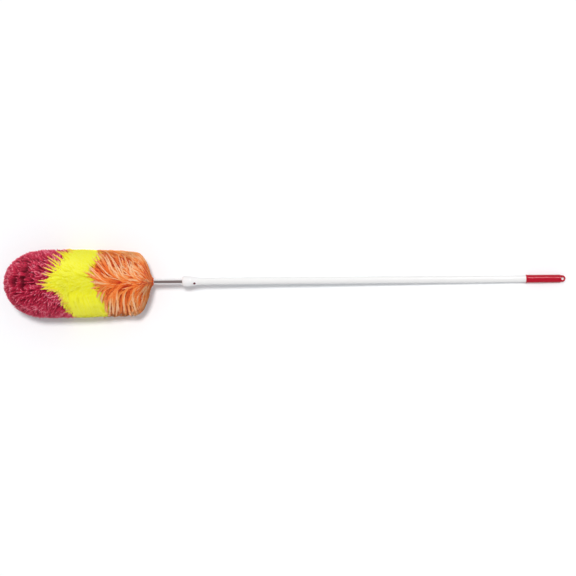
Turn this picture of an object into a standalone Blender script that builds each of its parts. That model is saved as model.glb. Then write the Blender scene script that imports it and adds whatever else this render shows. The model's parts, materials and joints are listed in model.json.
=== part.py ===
"""Telescopic duster: a fibre head on a twisted wire, a bright inner tube, and a
painted outer tube with a twist lock collar and a hang grip.

Every piece is modelled along the pole, in a frame whose X runs from the tip of
the head to the hang hole. That frame is then laid on the floor, where the duster
rests on the fibres of its head and on the end of its grip. Lengths are in metres.
"""

import math
import random

import bmesh
import bpy
from mathutils import Matrix, Vector

# Clearances
RUNNING_GAP = 0.0002
SEAT_GAP = 0.0003
CUT_OVERRUN = 0.0040

# Inner tube, bright steel
INNER_TUBE_RADIUS = 0.00625
INNER_TUBE_WALL = 0.0005
INNER_TUBE_SHOWN = 0.0650

# Rolled bead on the inner tube, which stops it at full reach
BEAD_CLEARANCE = 0.0004
BEAD_LENGTH = 0.0026

# Outer tube, painted steel, and the guide sleeve that runs in it
GUIDE_WALL = 0.00085
GUIDE_LENGTH = 0.0610
OUTER_TUBE_WALL = 0.0005
OUTER_TUBE_LENGTH = 0.8570

# Plug in the inner tube's rear end, which keeps the guide sleeve on
TAIL_PLUG_LENGTH = 0.0150
TAIL_FLANGE_LENGTH = 0.0030
TAIL_FLANGE_CLEARANCE = 0.0005

# Plug in the inner tube's front end, which holds the core wire
HEAD_PLUG_LENGTH = 0.0420
HEAD_FLANGE_LENGTH = 0.0020

# Collar body on the mouth of the outer tube
COLLAR_GUIDE_LENGTH = 0.0045
COLLAR_NECK_WALL = 0.0009
COLLAR_TAIL_WALL = 0.0017
COLLAR_TAIL_END_WALL = 0.0007
COLLAR_TAIL_LENGTH = 0.0130
COLLAR_TAPER_LENGTH = 0.0050

# Right-hand thread between the collar body and the lock nut
THREAD_PITCH = 0.0030
THREAD_RADIUS = 0.0006
THREAD_TURNS = 1.25
THREAD_SETBACK = 0.0030
THREAD_CLEARANCE = 0.00025

# Lock nut, with its outline as shares of its length and of its wall over the bore
NUT_LENGTH = 0.0220
NUT_WALL = 0.0030
NUT_MOUTH_LENGTH = 0.0032
NUT_CONE_LENGTH = 0.0043
NUT_CONE_WIDTH = 0.0012
NUT_FLUTES = 12
FLUTE_RADIUS = 0.0022
FLUTE_DEPTH = 0.0007
NUT_OUTLINE_SHARES = (
    (0.00, -0.16),
    (0.03, 0.09),
    (0.14, 0.50),
    (0.32, 0.84),
    (0.54, 1.00),
    (0.73, 0.92),
    (0.88, 0.67),
    (0.97, 0.46),
    (1.00, 0.34),
)

# Split ring that the nut's cone closes on the inner tube
RING_LENGTH = 0.0076
RING_SLOT = 0.0020

# Pin that fixes the collar body to the outer tube
PIN_RADIUS = 0.0021
PIN_DOME = 0.0004
PIN_SETBACK = 0.0056
PIN_TURN = math.radians(33)

# Grip with a flat hang tab
GRIP_WALL = 0.0009
GRIP_COVER = 0.0780
GRIP_RIM_HEIGHT = 0.0005
GRIP_RIM_LENGTH = 0.0025
GRIP_END_WALL = 0.0030
GRIP_END_ROUNDING = 0.0014
TAB_LENGTH = 0.0108
TAB_WIDTH = 0.0152
TAB_THICKNESS = 0.0060
HANG_HOLE_RADIUS = 0.0034
HANG_HOLE_RIM = 0.0031

# Fibre head, whose outline was read from the photograph
DOME_LENGTH = 0.0950
BARREL_LENGTH = 0.0950
TAPER_LENGTH = 0.1250
SHOULDER_LENGTH = 0.0260
HEAD_RADIUS = 0.0784
SHOULDER_RADIUS = 0.0670
HEAD_PRESS = 0.0050

# Core wire, one length folded in half and twisted on itself
WIRE_RADIUS = 0.0015
WIRE_GAP = 0.0005
WIRE_PITCH = 0.0400
WIRE_END_SETBACK = 0.0030
WIRE_STEPS_PER_TURN = 9
WIRE_EYE_STEPS = 8

# Backing sleeves on the core wire, which the strands grow from
SLEEVE_WALL = 0.0022
SLEEVE_CLEARANCE = 0.00055
KNOB_REACH = 0.0720
STRAND_SWEEP = 0.0230

# Strands: counts, and shares of a strand's length or of its cell in the pile
STRANDS_ROUND = 15
STRAIGHT_ROWS = 16
DOME_ROWS = 10
ROWS_OF_ZONE = {
    "base_fibres": (0, 8),
    "middle_fibres": (8, 13),
    "tip_fibres": (13, 19),
    "tip_tuft": (19, 26),
}
BEND_SHARE = 0.55
RING_SHARES = (0.34, 0.84)
HALF_WIDTH_SHARES = (0.32, 0.25)
STAGGER_SHARE = 0.25
JITTER_SHARE = 0.08
TIP_JITTER_SHARE = 0.03
KNOB_CAP_SHARE = 0.35
FIBRE_SEED = 7

# Facets
TUBE_SIDES = 32
COLLAR_SIDES = 40
PIN_SIDES = 20
CUTTER_SIDES = 24
FLUTE_SIDES = 16
THREAD_STEPS_PER_TURN = 18
ROUND_WIRE_RESOLUTION = 1
OUTLINE_STEPS = 48
SMOOTH_ANGLE = math.radians(35)
MERGE_DISTANCE = 0.00001

# Places along the pole
TAPER_AT = DOME_LENGTH + BARREL_LENGTH
SHOULDER_AT = TAPER_AT + TAPER_LENGTH
HEAD_LENGTH = SHOULDER_AT + SHOULDER_LENGTH
INNER_TUBE_AT = HEAD_LENGTH + HEAD_FLANGE_LENGTH + SEAT_GAP
NUT_AT = INNER_TUBE_AT + INNER_TUBE_SHOWN
NUT_END = NUT_AT + NUT_LENGTH
CONE_AT = NUT_AT + NUT_MOUTH_LENGTH
RING_AT = CONE_AT + SEAT_GAP
NECK_AT = RING_AT + RING_LENGTH + SEAT_GAP
STOP_AT = NECK_AT + COLLAR_GUIDE_LENGTH
THREAD_AT = NECK_AT + THREAD_SETBACK
TAIL_AT = NUT_END + SEAT_GAP
PIN_AT = TAIL_AT + PIN_SETBACK
OUTER_TUBE_AT = STOP_AT + SEAT_GAP
OUTER_TUBE_END = OUTER_TUBE_AT + OUTER_TUBE_LENGTH
GRIP_AT = OUTER_TUBE_END - GRIP_COVER
GRIP_WALL_AT = OUTER_TUBE_END + SEAT_GAP
TAB_AT = GRIP_WALL_AT + GRIP_END_WALL
POLE_END = TAB_AT + TAB_LENGTH
HANG_HOLE_AT = POLE_END - HANG_HOLE_RIM - HANG_HOLE_RADIUS
TAIL_FLANGE_AT = OUTER_TUBE_END - TAIL_FLANGE_LENGTH
INNER_TUBE_END = TAIL_FLANGE_AT - SEAT_GAP
GUIDE_AT = INNER_TUBE_END - GUIDE_LENGTH
BEAD_AT = GUIDE_AT - SEAT_GAP - BEAD_LENGTH
REACH = BEAD_AT - STOP_AT - SEAT_GAP

# Radii that follow from a neighbour, from the wire outwards
WIRE_SPREAD = WIRE_RADIUS + WIRE_GAP / 2
WIRE_REACH = WIRE_SPREAD + WIRE_RADIUS
SLEEVE_BORE = WIRE_REACH + SLEEVE_CLEARANCE
SLEEVE_RADIUS = SLEEVE_BORE + SLEEVE_WALL
INNER_TUBE_BORE = INNER_TUBE_RADIUS - INNER_TUBE_WALL
PLUG_RADIUS = INNER_TUBE_BORE - RUNNING_GAP
GUIDE_BORE = INNER_TUBE_RADIUS + RUNNING_GAP
GUIDE_RADIUS = GUIDE_BORE + GUIDE_WALL
OUTER_TUBE_BORE = GUIDE_RADIUS + RUNNING_GAP
OUTER_TUBE_RADIUS = OUTER_TUBE_BORE + OUTER_TUBE_WALL
BEAD_RADIUS = OUTER_TUBE_BORE - BEAD_CLEARANCE
TAIL_FLANGE_RADIUS = OUTER_TUBE_BORE - TAIL_FLANGE_CLEARANCE
COLLAR_BORE = OUTER_TUBE_RADIUS + RUNNING_GAP
COLLAR_GUIDE_BORE = INNER_TUBE_RADIUS + SEAT_GAP
NECK_RADIUS = COLLAR_BORE + COLLAR_NECK_WALL
TAIL_RADIUS = COLLAR_BORE + COLLAR_TAIL_WALL
TAIL_END_RADIUS = COLLAR_BORE + COLLAR_TAIL_END_WALL
NUT_BORE = NECK_RADIUS + SEAT_GAP
NUT_RADIUS = NUT_BORE + NUT_WALL
NUT_MOUTH = INNER_TUBE_RADIUS + SEAT_GAP
CONE_START = NUT_MOUTH + NUT_CONE_WIDTH
RING_BORE = INNER_TUBE_RADIUS + RUNNING_GAP
RING_RADIUS = NUT_BORE - SEAT_GAP
GRIP_BORE = OUTER_TUBE_RADIUS + RUNNING_GAP
GRIP_RADIUS = GRIP_BORE + GRIP_WALL
PIN_HOLE_RADIUS = PIN_RADIUS + RUNNING_GAP

# Places on the backing, whose tip is a round knob
KNOB_CENTRE = KNOB_REACH + SLEEVE_RADIUS
DOME_ROOT_AT = DOME_LENGTH + STRAND_SWEEP
SLEEVE_REAR = HEAD_LENGTH - SEAT_GAP

# How the pole lies: it turns about Y until grip and head both touch the floor
HEAD_REST_HEIGHT = HEAD_RADIUS - HEAD_PRESS
GRIP_REST_AT = TAB_AT - GRIP_END_ROUNDING
REST_SPAN = GRIP_REST_AT - TAPER_AT
REST_REACH = math.hypot(REST_SPAN, GRIP_RADIUS)
POLE_TILT = math.asin(HEAD_REST_HEIGHT / REST_REACH) - math.atan2(GRIP_RADIUS, REST_SPAN)
TIP_HEIGHT = HEAD_REST_HEIGHT + TAPER_AT * math.sin(POLE_TILT)

# Finishes: colour, roughness, metallic value
WHITE_PAINT = ((0.88, 0.88, 0.87), 0.35, 0.0)
WHITE_PLASTIC = ((0.90, 0.90, 0.88), 0.40, 0.0)
NATURAL_NYLON = ((0.80, 0.79, 0.72), 0.50, 0.0)
BRIGHT_STEEL = ((0.70, 0.69, 0.68), 0.15, 1.0)
WIRE_STEEL = ((0.45, 0.45, 0.46), 0.40, 1.0)
RED_PLASTIC = ((0.60, 0.022, 0.045), 0.30, 0.0)
PIN_PLASTIC = ((0.10, 0.020, 0.025), 0.45, 0.0)
CRIMSON_FIBRE = ((0.39, 0.025, 0.060), 0.75, 0.0)
YELLOW_FIBRE = ((0.83, 0.76, 0.035), 0.75, 0.0)
ORANGE_FIBRE = ((0.80, 0.21, 0.055), 0.75, 0.0)


def clear_scene():
    for old in list(bpy.data.objects):
        bpy.data.objects.remove(old, do_unlink=True)


def new_collection(name, hidden=False):
    collection = bpy.data.collections.new(name)
    bpy.context.scene.collection.children.link(collection)
    collection.hide_render = hidden
    return collection


def new_axis(name, parent=None):
    """An empty on the pole's axis, which carries one moving group of pieces."""
    axis = bpy.data.objects.new(name, None)
    axis.parent = parent
    DUSTER.objects.link(axis)
    return axis


def new_material(name, finish):
    colour, roughness, metallic = finish
    material = bpy.data.materials.new(name)
    material.use_nodes = True
    shader = material.node_tree.nodes["Principled BSDF"]
    shader.inputs["Base Color"].default_value = (*colour, 1.0)
    shader.inputs["Roughness"].default_value = roughness
    shader.inputs["Metallic"].default_value = metallic
    material.diffuse_color = (*colour, 1.0)
    return material


def evaluated_mesh(obj):
    """The object's mesh with its modifiers, faces out and doubles merged."""
    graph = bpy.context.evaluated_depsgraph_get()
    mesh = bpy.data.meshes.new_from_object(obj.evaluated_get(graph), depsgraph=graph)
    shape = bmesh.new()
    shape.from_mesh(mesh)
    bmesh.ops.remove_doubles(shape, verts=shape.verts, dist=MERGE_DISTANCE)
    bmesh.ops.recalc_face_normals(shape, faces=shape.faces)
    shape.to_mesh(mesh)
    shape.free()
    return mesh


def settle(obj):
    """Replaces a helper object by a plain mesh object of the same name and place."""
    name, matrix = obj.name, obj.matrix_world.copy()
    mesh = evaluated_mesh(obj)
    collections = list(obj.users_collection)
    bpy.data.objects.remove(obj, do_unlink=True)
    mesh.name = name
    plain = bpy.data.objects.new(name, mesh)
    for collection in collections:
        collection.objects.link(plain)
    plain.matrix_world = matrix
    return plain


def line_object(name, points, closed, collection):
    """A mesh of edges only, through points (x, radius) at Y = 0."""
    mesh = bpy.data.meshes.new(name)
    edges = [(i, i + 1) for i in range(len(points) - 1)]
    if closed:
        edges.append((len(points) - 1, 0))
    mesh.from_pydata([(x, 0.0, radius) for x, radius in points], edges, [])
    obj = bpy.data.objects.new(name, mesh)
    collection.objects.link(obj)
    return obj


def turned(name, points, collection, sides=TUBE_SIDES, closed=True):
    """A profile of (x, radius) points turned about the pole's X axis."""
    obj = line_object(name, points, closed, collection)
    screw = obj.modifiers.new("turn", "SCREW")
    screw.axis = "X"
    screw.steps = sides
    screw.render_steps = sides
    screw.use_merge_vertices = True
    screw.merge_threshold = MERGE_DISTANCE
    return settle(obj)


def cutter_object(obj):
    """Marks a helper that only cuts or joins, so it is never drawn."""
    obj.hide_render = True
    obj.display_type = "WIRE"
    return obj


def rod_cutter(name, radius, length, direction, centre, sides=CUTTER_SIDES):
    """A cylinder about a direction through a point of the pole frame."""
    mesh = bpy.data.meshes.new(name)
    shape = bmesh.new()
    bmesh.ops.create_cone(
        shape,
        cap_ends=True,
        segments=sides,
        radius1=radius,
        radius2=radius,
        depth=length,
        matrix=Matrix.Translation(centre) @ direction.to_track_quat("Z", "Y").to_matrix().to_4x4(),
    )
    shape.to_mesh(mesh)
    shape.free()
    obj = bpy.data.objects.new(name, mesh)
    CUTTERS.objects.link(obj)
    return cutter_object(obj)


def box_cutter(name, size, centre):
    mesh = bpy.data.meshes.new(name)
    shape = bmesh.new()
    bmesh.ops.create_cube(shape, size=1.0, matrix=Matrix.Diagonal((*size, 1.0)))
    bmesh.ops.translate(shape, verts=shape.verts, vec=centre)
    shape.to_mesh(mesh)
    shape.free()
    obj = bpy.data.objects.new(name, mesh)
    CUTTERS.objects.link(obj)
    return cutter_object(obj)


def combine(obj, operation, others):
    """Cuts others from obj, or joins them to it, and leaves a plain mesh."""
    for other in others:
        boolean = obj.modifiers.new(other.name, "BOOLEAN")
        boolean.operation = operation
        boolean.solver = "EXACT"
        boolean.object = other
    return settle(obj)


def finished(obj, carrier, at, finish):
    """Sets a piece's origin at x = at on the axis, and gives it its finish and carrier."""
    obj.data.transform(Matrix.Translation((-at, 0.0, 0.0)))
    obj.location.x = at
    obj.parent = carrier
    obj.data.materials.clear()
    obj.data.materials.append(new_material(f"{obj.name}_finish", finish))
    obj.data.shade_smooth()
    obj.data.set_sharp_from_angle(angle=SMOOTH_ANGLE)
    return obj


def wire_along(name, points, radius, collection):
    """A round wire through the points, as a mesh with closed ends."""
    curve = bpy.data.curves.new(name, "CURVE")
    curve.dimensions = "3D"
    curve.bevel_depth = radius
    curve.bevel_resolution = ROUND_WIRE_RESOLUTION
    curve.use_fill_caps = True
    spline = curve.splines.new("POLY")
    spline.points.add(len(points) - 1)
    for point, place in zip(spline.points, points):
        point.co = (*place, 1.0)
    wire = bpy.data.objects.new(name, curve)
    collection.objects.link(wire)
    return settle(wire)


def thread_wire(name, radius, first, last):
    """A round wire along the thread's right-hand helix, from x = first to x = last."""
    steps = math.ceil((last - first) / THREAD_PITCH * THREAD_STEPS_PER_TURN)
    points = []
    for step in range(steps + 1):
        x = first + (last - first) * step / steps
        angle = math.tau * x / THREAD_PITCH
        points.append((x, NECK_RADIUS * math.cos(angle), NECK_RADIUS * math.sin(angle)))
    return cutter_object(wire_along(name, points, radius, CUTTERS))


def outer_tube(pin_hole):
    tube = turned(
        "outer_tube",
        [
            (OUTER_TUBE_AT, OUTER_TUBE_BORE),
            (OUTER_TUBE_AT, OUTER_TUBE_RADIUS),
            (OUTER_TUBE_END, OUTER_TUBE_RADIUS),
            (OUTER_TUBE_END, OUTER_TUBE_BORE),
        ],
        DUSTER,
    )
    tube = combine(tube, "DIFFERENCE", [pin_hole])
    return finished(tube, POLE, OUTER_TUBE_AT, WHITE_PAINT)


def inner_tube():
    """The bead is rolled from inside, so the bore swells with it."""
    ramp = BEAD_LENGTH * 0.25
    outside = [
        (INNER_TUBE_AT, INNER_TUBE_RADIUS),
        (BEAD_AT, INNER_TUBE_RADIUS),
        (BEAD_AT + ramp, BEAD_RADIUS),
        (BEAD_AT + BEAD_LENGTH - ramp, BEAD_RADIUS),
        (BEAD_AT + BEAD_LENGTH, INNER_TUBE_RADIUS),
        (INNER_TUBE_END, INNER_TUBE_RADIUS),
    ]
    inside = [(x, radius - INNER_TUBE_WALL) for x, radius in reversed(outside)]
    tube = turned("inner_tube", outside + inside, DUSTER)
    return finished(tube, INNER_POLE, INNER_TUBE_AT, BRIGHT_STEEL)


def tail_guide():
    sleeve = turned(
        "tail_guide",
        [
            (GUIDE_AT, GUIDE_BORE),
            (GUIDE_AT, GUIDE_RADIUS),
            (INNER_TUBE_END, GUIDE_RADIUS),
            (INNER_TUBE_END, GUIDE_BORE),
        ],
        DUSTER,
    )
    return finished(sleeve, SLIDER, GUIDE_AT, NATURAL_NYLON)


def tail_plug():
    foot = INNER_TUBE_END - TAIL_PLUG_LENGTH
    plug = turned(
        "tail_plug",
        [
            (foot, 0.0),
            (foot, PLUG_RADIUS),
            (TAIL_FLANGE_AT, PLUG_RADIUS),
            (TAIL_FLANGE_AT, TAIL_FLANGE_RADIUS),
            (OUTER_TUBE_END, TAIL_FLANGE_RADIUS),
            (OUTER_TUBE_END, 0.0),
        ],
        DUSTER,
        closed=False,
    )
    return finished(plug, INNER_POLE, TAIL_FLANGE_AT, NATURAL_NYLON)


def head_plug():
    bore = WIRE_REACH + SEAT_GAP
    plug = turned(
        "head_plug",
        [
            (HEAD_LENGTH, bore),
            (HEAD_LENGTH, INNER_TUBE_RADIUS),
            (HEAD_LENGTH + HEAD_FLANGE_LENGTH, INNER_TUBE_RADIUS),
            (HEAD_LENGTH + HEAD_FLANGE_LENGTH, PLUG_RADIUS),
            (HEAD_LENGTH + HEAD_PLUG_LENGTH, PLUG_RADIUS),
            (HEAD_LENGTH + HEAD_PLUG_LENGTH, bore),
        ],
        DUSTER,
    )
    return finished(plug, INNER_POLE, HEAD_LENGTH, NATURAL_NYLON)


def collar_body(pin_hole):
    """A threaded neck in front of a plain tail that is pinned to the outer tube."""
    taper_at = TAIL_AT + COLLAR_TAIL_LENGTH - COLLAR_TAPER_LENGTH
    tail_end = TAIL_AT + COLLAR_TAIL_LENGTH
    body = turned(
        "collar_body",
        [
            (NECK_AT, COLLAR_GUIDE_BORE),
            (NECK_AT, NECK_RADIUS),
            (TAIL_AT, NECK_RADIUS),
            (TAIL_AT, TAIL_RADIUS),
            (taper_at, TAIL_RADIUS),
            (tail_end, TAIL_END_RADIUS),
            (tail_end, COLLAR_BORE),
            (STOP_AT, COLLAR_BORE),
            (STOP_AT, COLLAR_GUIDE_BORE),
        ],
        DUSTER,
        sides=COLLAR_SIDES,
    )
    thread_end = THREAD_AT + THREAD_TURNS * THREAD_PITCH
    ridge = thread_wire("thread_ridge", THREAD_RADIUS, THREAD_AT, thread_end)
    body = combine(body, "UNION", [ridge])
    body = combine(body, "DIFFERENCE", [pin_hole])
    return finished(body, POLE, NECK_AT, WHITE_PLASTIC)


def flute_cutters():
    cutters = []
    for flute in range(NUT_FLUTES):
        angle = math.tau * flute / NUT_FLUTES
        centre = Vector((0.0, math.sin(angle), math.cos(angle)))
        centre *= NUT_RADIUS + FLUTE_RADIUS - FLUTE_DEPTH
        centre.x = NUT_AT + NUT_LENGTH / 2
        length = NUT_LENGTH + CUT_OVERRUN
        along = Vector((1.0, 0.0, 0.0))
        cutters.append(rod_cutter(f"flute_{flute}", FLUTE_RADIUS, length, along, centre, FLUTE_SIDES))
    return cutters


def lock_nut():
    """A barrel with an inner cone in front, and a thread groove open at its rear."""
    outside = [
        (NUT_AT + along * NUT_LENGTH, NUT_BORE + above * NUT_WALL)
        for along, above in NUT_OUTLINE_SHARES
    ]
    inside = [
        (NUT_END, NUT_BORE),
        (CONE_AT + NUT_CONE_LENGTH, NUT_BORE),
        (CONE_AT, CONE_START),
        (CONE_AT, NUT_MOUTH),
        (NUT_AT, NUT_MOUTH),
    ]
    nut = turned("lock_nut", outside + inside, DUSTER, sides=COLLAR_SIDES)
    groove_radius = THREAD_RADIUS + THREAD_CLEARANCE
    groove_at = THREAD_AT - THREAD_PITCH
    groove = thread_wire("thread_groove", groove_radius, groove_at, NUT_END + CUT_OVERRUN)
    nut = combine(nut, "DIFFERENCE", [groove, *flute_cutters()])
    return finished(nut, NUT, NUT_AT, WHITE_PLASTIC)


def clamp_ring():
    """The ring's cone lies one seat gap behind the nut's cone."""
    cone_end = RING_AT + NUT_CONE_LENGTH
    ring = turned(
        "clamp_ring",
        [
            (RING_AT, RING_BORE),
            (RING_AT, CONE_START - SEAT_GAP),
            (cone_end, RING_RADIUS),
            (RING_AT + RING_LENGTH, RING_RADIUS),
            (RING_AT + RING_LENGTH, RING_BORE),
        ],
        DUSTER,
    )
    slot = box_cutter(
        "ring_slot",
        (RING_LENGTH + CUT_OVERRUN, RING_SLOT, RING_RADIUS + CUT_OVERRUN),
        (RING_AT + RING_LENGTH / 2, 0.0, (RING_RADIUS + CUT_OVERRUN) / 2),
    )
    ring = combine(ring, "DIFFERENCE", [slot])
    return finished(ring, CLAMP, RING_AT, NATURAL_NYLON)


def pin_direction():
    return Vector((0.0, -math.sin(PIN_TURN), math.cos(PIN_TURN)))


def pin_hole_cutter():
    reach = TAIL_RADIUS + CUT_OVERRUN
    centre = pin_direction() * (reach / 2)
    centre.x = PIN_AT
    return rod_cutter("pin_hole", PIN_HOLE_RADIUS, reach, pin_direction(), centre)


def collar_pin():
    """A short pin with a low dome, flush with the outer tube's bore inside."""
    foot = OUTER_TUBE_BORE
    shoulder = TAIL_RADIUS - PIN_DOME / 2
    pin = turned(
        "collar_pin",
        [
            (foot, 0.0),
            (foot, PIN_RADIUS),
            (shoulder, PIN_RADIUS),
            (shoulder + PIN_DOME * 0.7, PIN_RADIUS * 0.7),
            (shoulder + PIN_DOME, 0.0),
        ],
        DUSTER,
        sides=PIN_SIDES,
        closed=False,
    )
    finished(pin, POLE, 0.0, PIN_PLASTIC)
    pin.location.x = PIN_AT
    pin.rotation_mode = "QUATERNION"
    pin.rotation_quaternion = pin_direction().to_track_quat("X", "Y")
    return pin


def tab_outline():
    """The flat tab: straight sides and a round end, as an extruded 2D curve."""
    half = TAB_WIDTH / 2
    root = TAB_AT - GRIP_END_WALL / 2
    corner = POLE_END - half
    points = [(root, -half), (corner, -half)]
    for step in range(1, TUBE_SIDES // 2):
        angle = math.pi * step / (TUBE_SIDES // 2) - math.pi / 2
        points.append((corner + half * math.cos(angle), half * math.sin(angle)))
    points += [(corner, half), (root, half)]
    curve = bpy.data.curves.new("hang_tab", "CURVE")
    curve.dimensions = "2D"
    curve.fill_mode = "BOTH"
    curve.extrude = TAB_THICKNESS / 2
    spline = curve.splines.new("POLY")
    spline.points.add(len(points) - 1)
    for point, (x, y) in zip(spline.points, points):
        point.co = (x, y, 0.0, 1.0)
    spline.use_cyclic_u = True
    tab = bpy.data.objects.new("hang_tab", curve)
    CUTTERS.objects.link(tab)
    return cutter_object(settle(tab))


def hand_grip():
    rim = GRIP_RADIUS + GRIP_RIM_HEIGHT
    round_at = TAB_AT - GRIP_END_ROUNDING
    sleeve = turned(
        "hand_grip",
        [
            (GRIP_WALL_AT, 0.0),
            (GRIP_WALL_AT, GRIP_BORE),
            (GRIP_AT, GRIP_BORE),
            (GRIP_AT, rim - GRIP_RIM_HEIGHT / 2),
            (GRIP_AT + GRIP_RIM_LENGTH * 0.25, rim),
            (GRIP_AT + GRIP_RIM_LENGTH * 0.75, rim),
            (GRIP_AT + GRIP_RIM_LENGTH, GRIP_RADIUS),
            (round_at, GRIP_RADIUS),
            (round_at + GRIP_END_ROUNDING * 0.7, GRIP_RADIUS - GRIP_END_ROUNDING * 0.3),
            (TAB_AT, GRIP_RADIUS - GRIP_END_ROUNDING),
            (TAB_AT, 0.0),
        ],
        DUSTER,
        closed=False,
    )
    hole = rod_cutter(
        "hang_hole",
        HANG_HOLE_RADIUS,
        TAB_THICKNESS + CUT_OVERRUN,
        Vector((0.0, 0.0, 1.0)),
        Vector((HANG_HOLE_AT, 0.0, 0.0)),
    )
    grip = combine(sleeve, "UNION", [tab_outline()])
    grip = combine(grip, "DIFFERENCE", [hole])
    return finished(grip, POLE, GRIP_AT, RED_PLASTIC)


def wire_point(x, side):
    angle = math.tau * x / WIRE_PITCH + side * math.pi
    return Vector((x, WIRE_SPREAD * math.cos(angle), WIRE_SPREAD * math.sin(angle)))


def core_wire():
    """One wire from the plug to an eye at the tip and back, twisted on itself."""
    rear = HEAD_LENGTH + HEAD_PLUG_LENGTH - WIRE_END_SETBACK
    eye = KNOB_CENTRE
    steps = math.ceil((rear - eye) / WIRE_PITCH * WIRE_STEPS_PER_TURN)
    xs = [rear + (eye - rear) * step / steps for step in range(steps + 1)]
    out = [wire_point(x, 0) for x in xs]
    back = [wire_point(x, 1) for x in reversed(xs)]
    middle = (out[-1] + back[0]) / 2
    sideways = out[-1] - middle
    bend = []
    for step in range(1, WIRE_EYE_STEPS):
        turn = math.pi * step / WIRE_EYE_STEPS
        forward = Vector((-WIRE_SPREAD * math.sin(turn), 0.0, 0.0))
        bend.append(middle + forward + sideways * math.cos(turn))
    gap = min((there - here).length for here in out for there in back) - 2 * WIRE_RADIUS
    print(f"core wire: least gap between its two halves {gap:.5f} m")
    wire = wire_along("core_wire", out + bend + back, WIRE_RADIUS, DUSTER)
    return finished(wire, INNER_POLE, eye, WIRE_STEEL)


def walk(path, distance):
    """The point at a distance along a path of (x, radius) points."""
    for (x0, r0), (x1, r1) in zip(path, path[1:]):
        step = math.hypot(x1 - x0, r1 - r0)
        if distance <= step:
            share = distance / step
            return x0 + (x1 - x0) * share, r0 + (r1 - r0) * share
        distance -= step
    return path[-1]


def length_of(path):
    return sum(math.hypot(b[0] - a[0], b[1] - a[1]) for a, b in zip(path, path[1:]))


def quarter(centre, reach, radius):
    """A quarter ellipse from the full radius round to the axis, towards the tip."""
    return [
        (
            centre - reach * math.sin(math.pi / 2 * step / OUTLINE_STEPS),
            radius * math.cos(math.pi / 2 * step / OUTLINE_STEPS),
        )
        for step in range(OUTLINE_STEPS + 1)
    ]


TIP_SIDE = [(SHOULDER_AT, SHOULDER_RADIUS), (TAPER_AT, HEAD_RADIUS), (DOME_LENGTH, HEAD_RADIUS)]
TIP_DOME = quarter(DOME_LENGTH, DOME_LENGTH, HEAD_RADIUS)
ROOT_SIDE = [(SLEEVE_REAR, SLEEVE_RADIUS), (DOME_ROOT_AT, SLEEVE_RADIUS)]
ROOT_DOME = [(DOME_ROOT_AT, SLEEVE_RADIUS)] + quarter(KNOB_CENTRE, SLEEVE_RADIUS, SLEEVE_RADIUS)


def on_paths(row, side, dome):
    """The point of a row coordinate on a side path and the dome path after it."""
    if row <= STRAIGHT_ROWS:
        return walk(side, length_of(side) * row / STRAIGHT_ROWS)
    return walk(dome, length_of(dome) * (row - STRAIGHT_ROWS) / DOME_ROWS)


def row_of(point):
    """The row coordinate of a point on the backing, the inverse of its path."""
    side, dome = length_of(ROOT_SIDE), length_of(ROOT_DOME)
    radius = math.hypot(point.y, point.z)
    distance = SLEEVE_REAR - point.x
    if point.x < KNOB_CENTRE:
        turn = math.atan2(KNOB_CENTRE - point.x, radius)
        distance = SLEEVE_REAR - KNOB_CENTRE + SLEEVE_RADIUS * turn
    if distance <= side:
        return STRAIGHT_ROWS * distance / side
    return STRAIGHT_ROWS + DOME_ROWS * (distance - side) / dome


def strand_point(row, turn, share):
    """A point of the fibre pile: row along the head, turn about it, share outwards.

    Each fibre leaves the backing at right angles and then sweeps towards the tip,
    so the curves of neighbouring rows never cross.
    """
    root = Vector(on_paths(row, ROOT_SIDE, ROOT_DOME))
    tip = Vector(on_paths(row, TIP_SIDE, TIP_DOME))
    ahead = max(root.x - KNOB_CENTRE, 0.0) / (SLEEVE_REAR - KNOB_CENTRE)
    outwards = Vector((0.0, 1.0))
    if ahead == 0.0:
        outwards = (root - Vector((KNOB_CENTRE, 0.0))).normalized()
    bend = root + outwards * ((tip - root).length * BEND_SHARE)
    flat = root * (1 - share) ** 2 + bend * (2 * share * (1 - share)) + tip * share**2
    return Vector((flat.x, flat.y * math.sin(turn), flat.y * math.cos(turn)))


def on_floor(point):
    """The point, raised to the floor where the head presses on it."""
    height = TIP_HEIGHT - point.x * math.sin(POLE_TILT) + point.z * math.cos(POLE_TILT)
    if height < 0.0:
        point.z -= height / math.cos(POLE_TILT)
    return point


def backing(name, first, last):
    """The slice of the sleeve that holds rows first to last, with an edge per row."""
    outside = [on_paths(row, ROOT_SIDE, ROOT_DOME) for row in range(first, last + 1)]
    if first > 0:
        outside[0] = (outside[0][0] - SEAT_GAP, outside[0][1])
    rear = outside[0][0]
    if last < STRAIGHT_ROWS + DOME_ROWS:
        inside = [(outside[-1][0], SLEEVE_BORE), (rear, SLEEVE_BORE)]
        sleeve = turned(name, outside + inside, DUSTER, sides=STRANDS_ROUND)
    else:
        outside[-1] = on_paths(last - KNOB_CAP_SHARE, ROOT_SIDE, ROOT_DOME)
        bore_front = KNOB_CENTRE - WIRE_REACH
        inside = [(rear, SLEEVE_BORE), (bore_front, SLEEVE_BORE), (bore_front - SEAT_GAP, 0.0)]
        points = [(outside[-1][0], 0.0), *reversed(outside), *inside]
        sleeve = turned(name, points, DUSTER, sides=STRANDS_ROUND, closed=False)
    sleeve.data.transform(Matrix.Rotation(math.pi / STRANDS_ROUND, 4, "X"))
    return sleeve


def strand_roots(shape):
    """The backing's outer faces, one for each strand."""
    roots = []
    for face in shape.faces:
        centre = face.calc_center_median()
        radial = Vector((0.0, centre.y, centre.z))
        from_knob = centre - Vector((max(centre.x, KNOB_CENTRE), 0.0, 0.0))
        near_surface = from_knob.length > (SLEEVE_RADIUS + SLEEVE_BORE) / 2
        if len(face.verts) == 4 and radial.length > 0.0 and near_surface:
            if face.normal.dot(from_knob) > 0.5 * from_knob.length:
                roots.append(face)
    return roots


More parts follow.
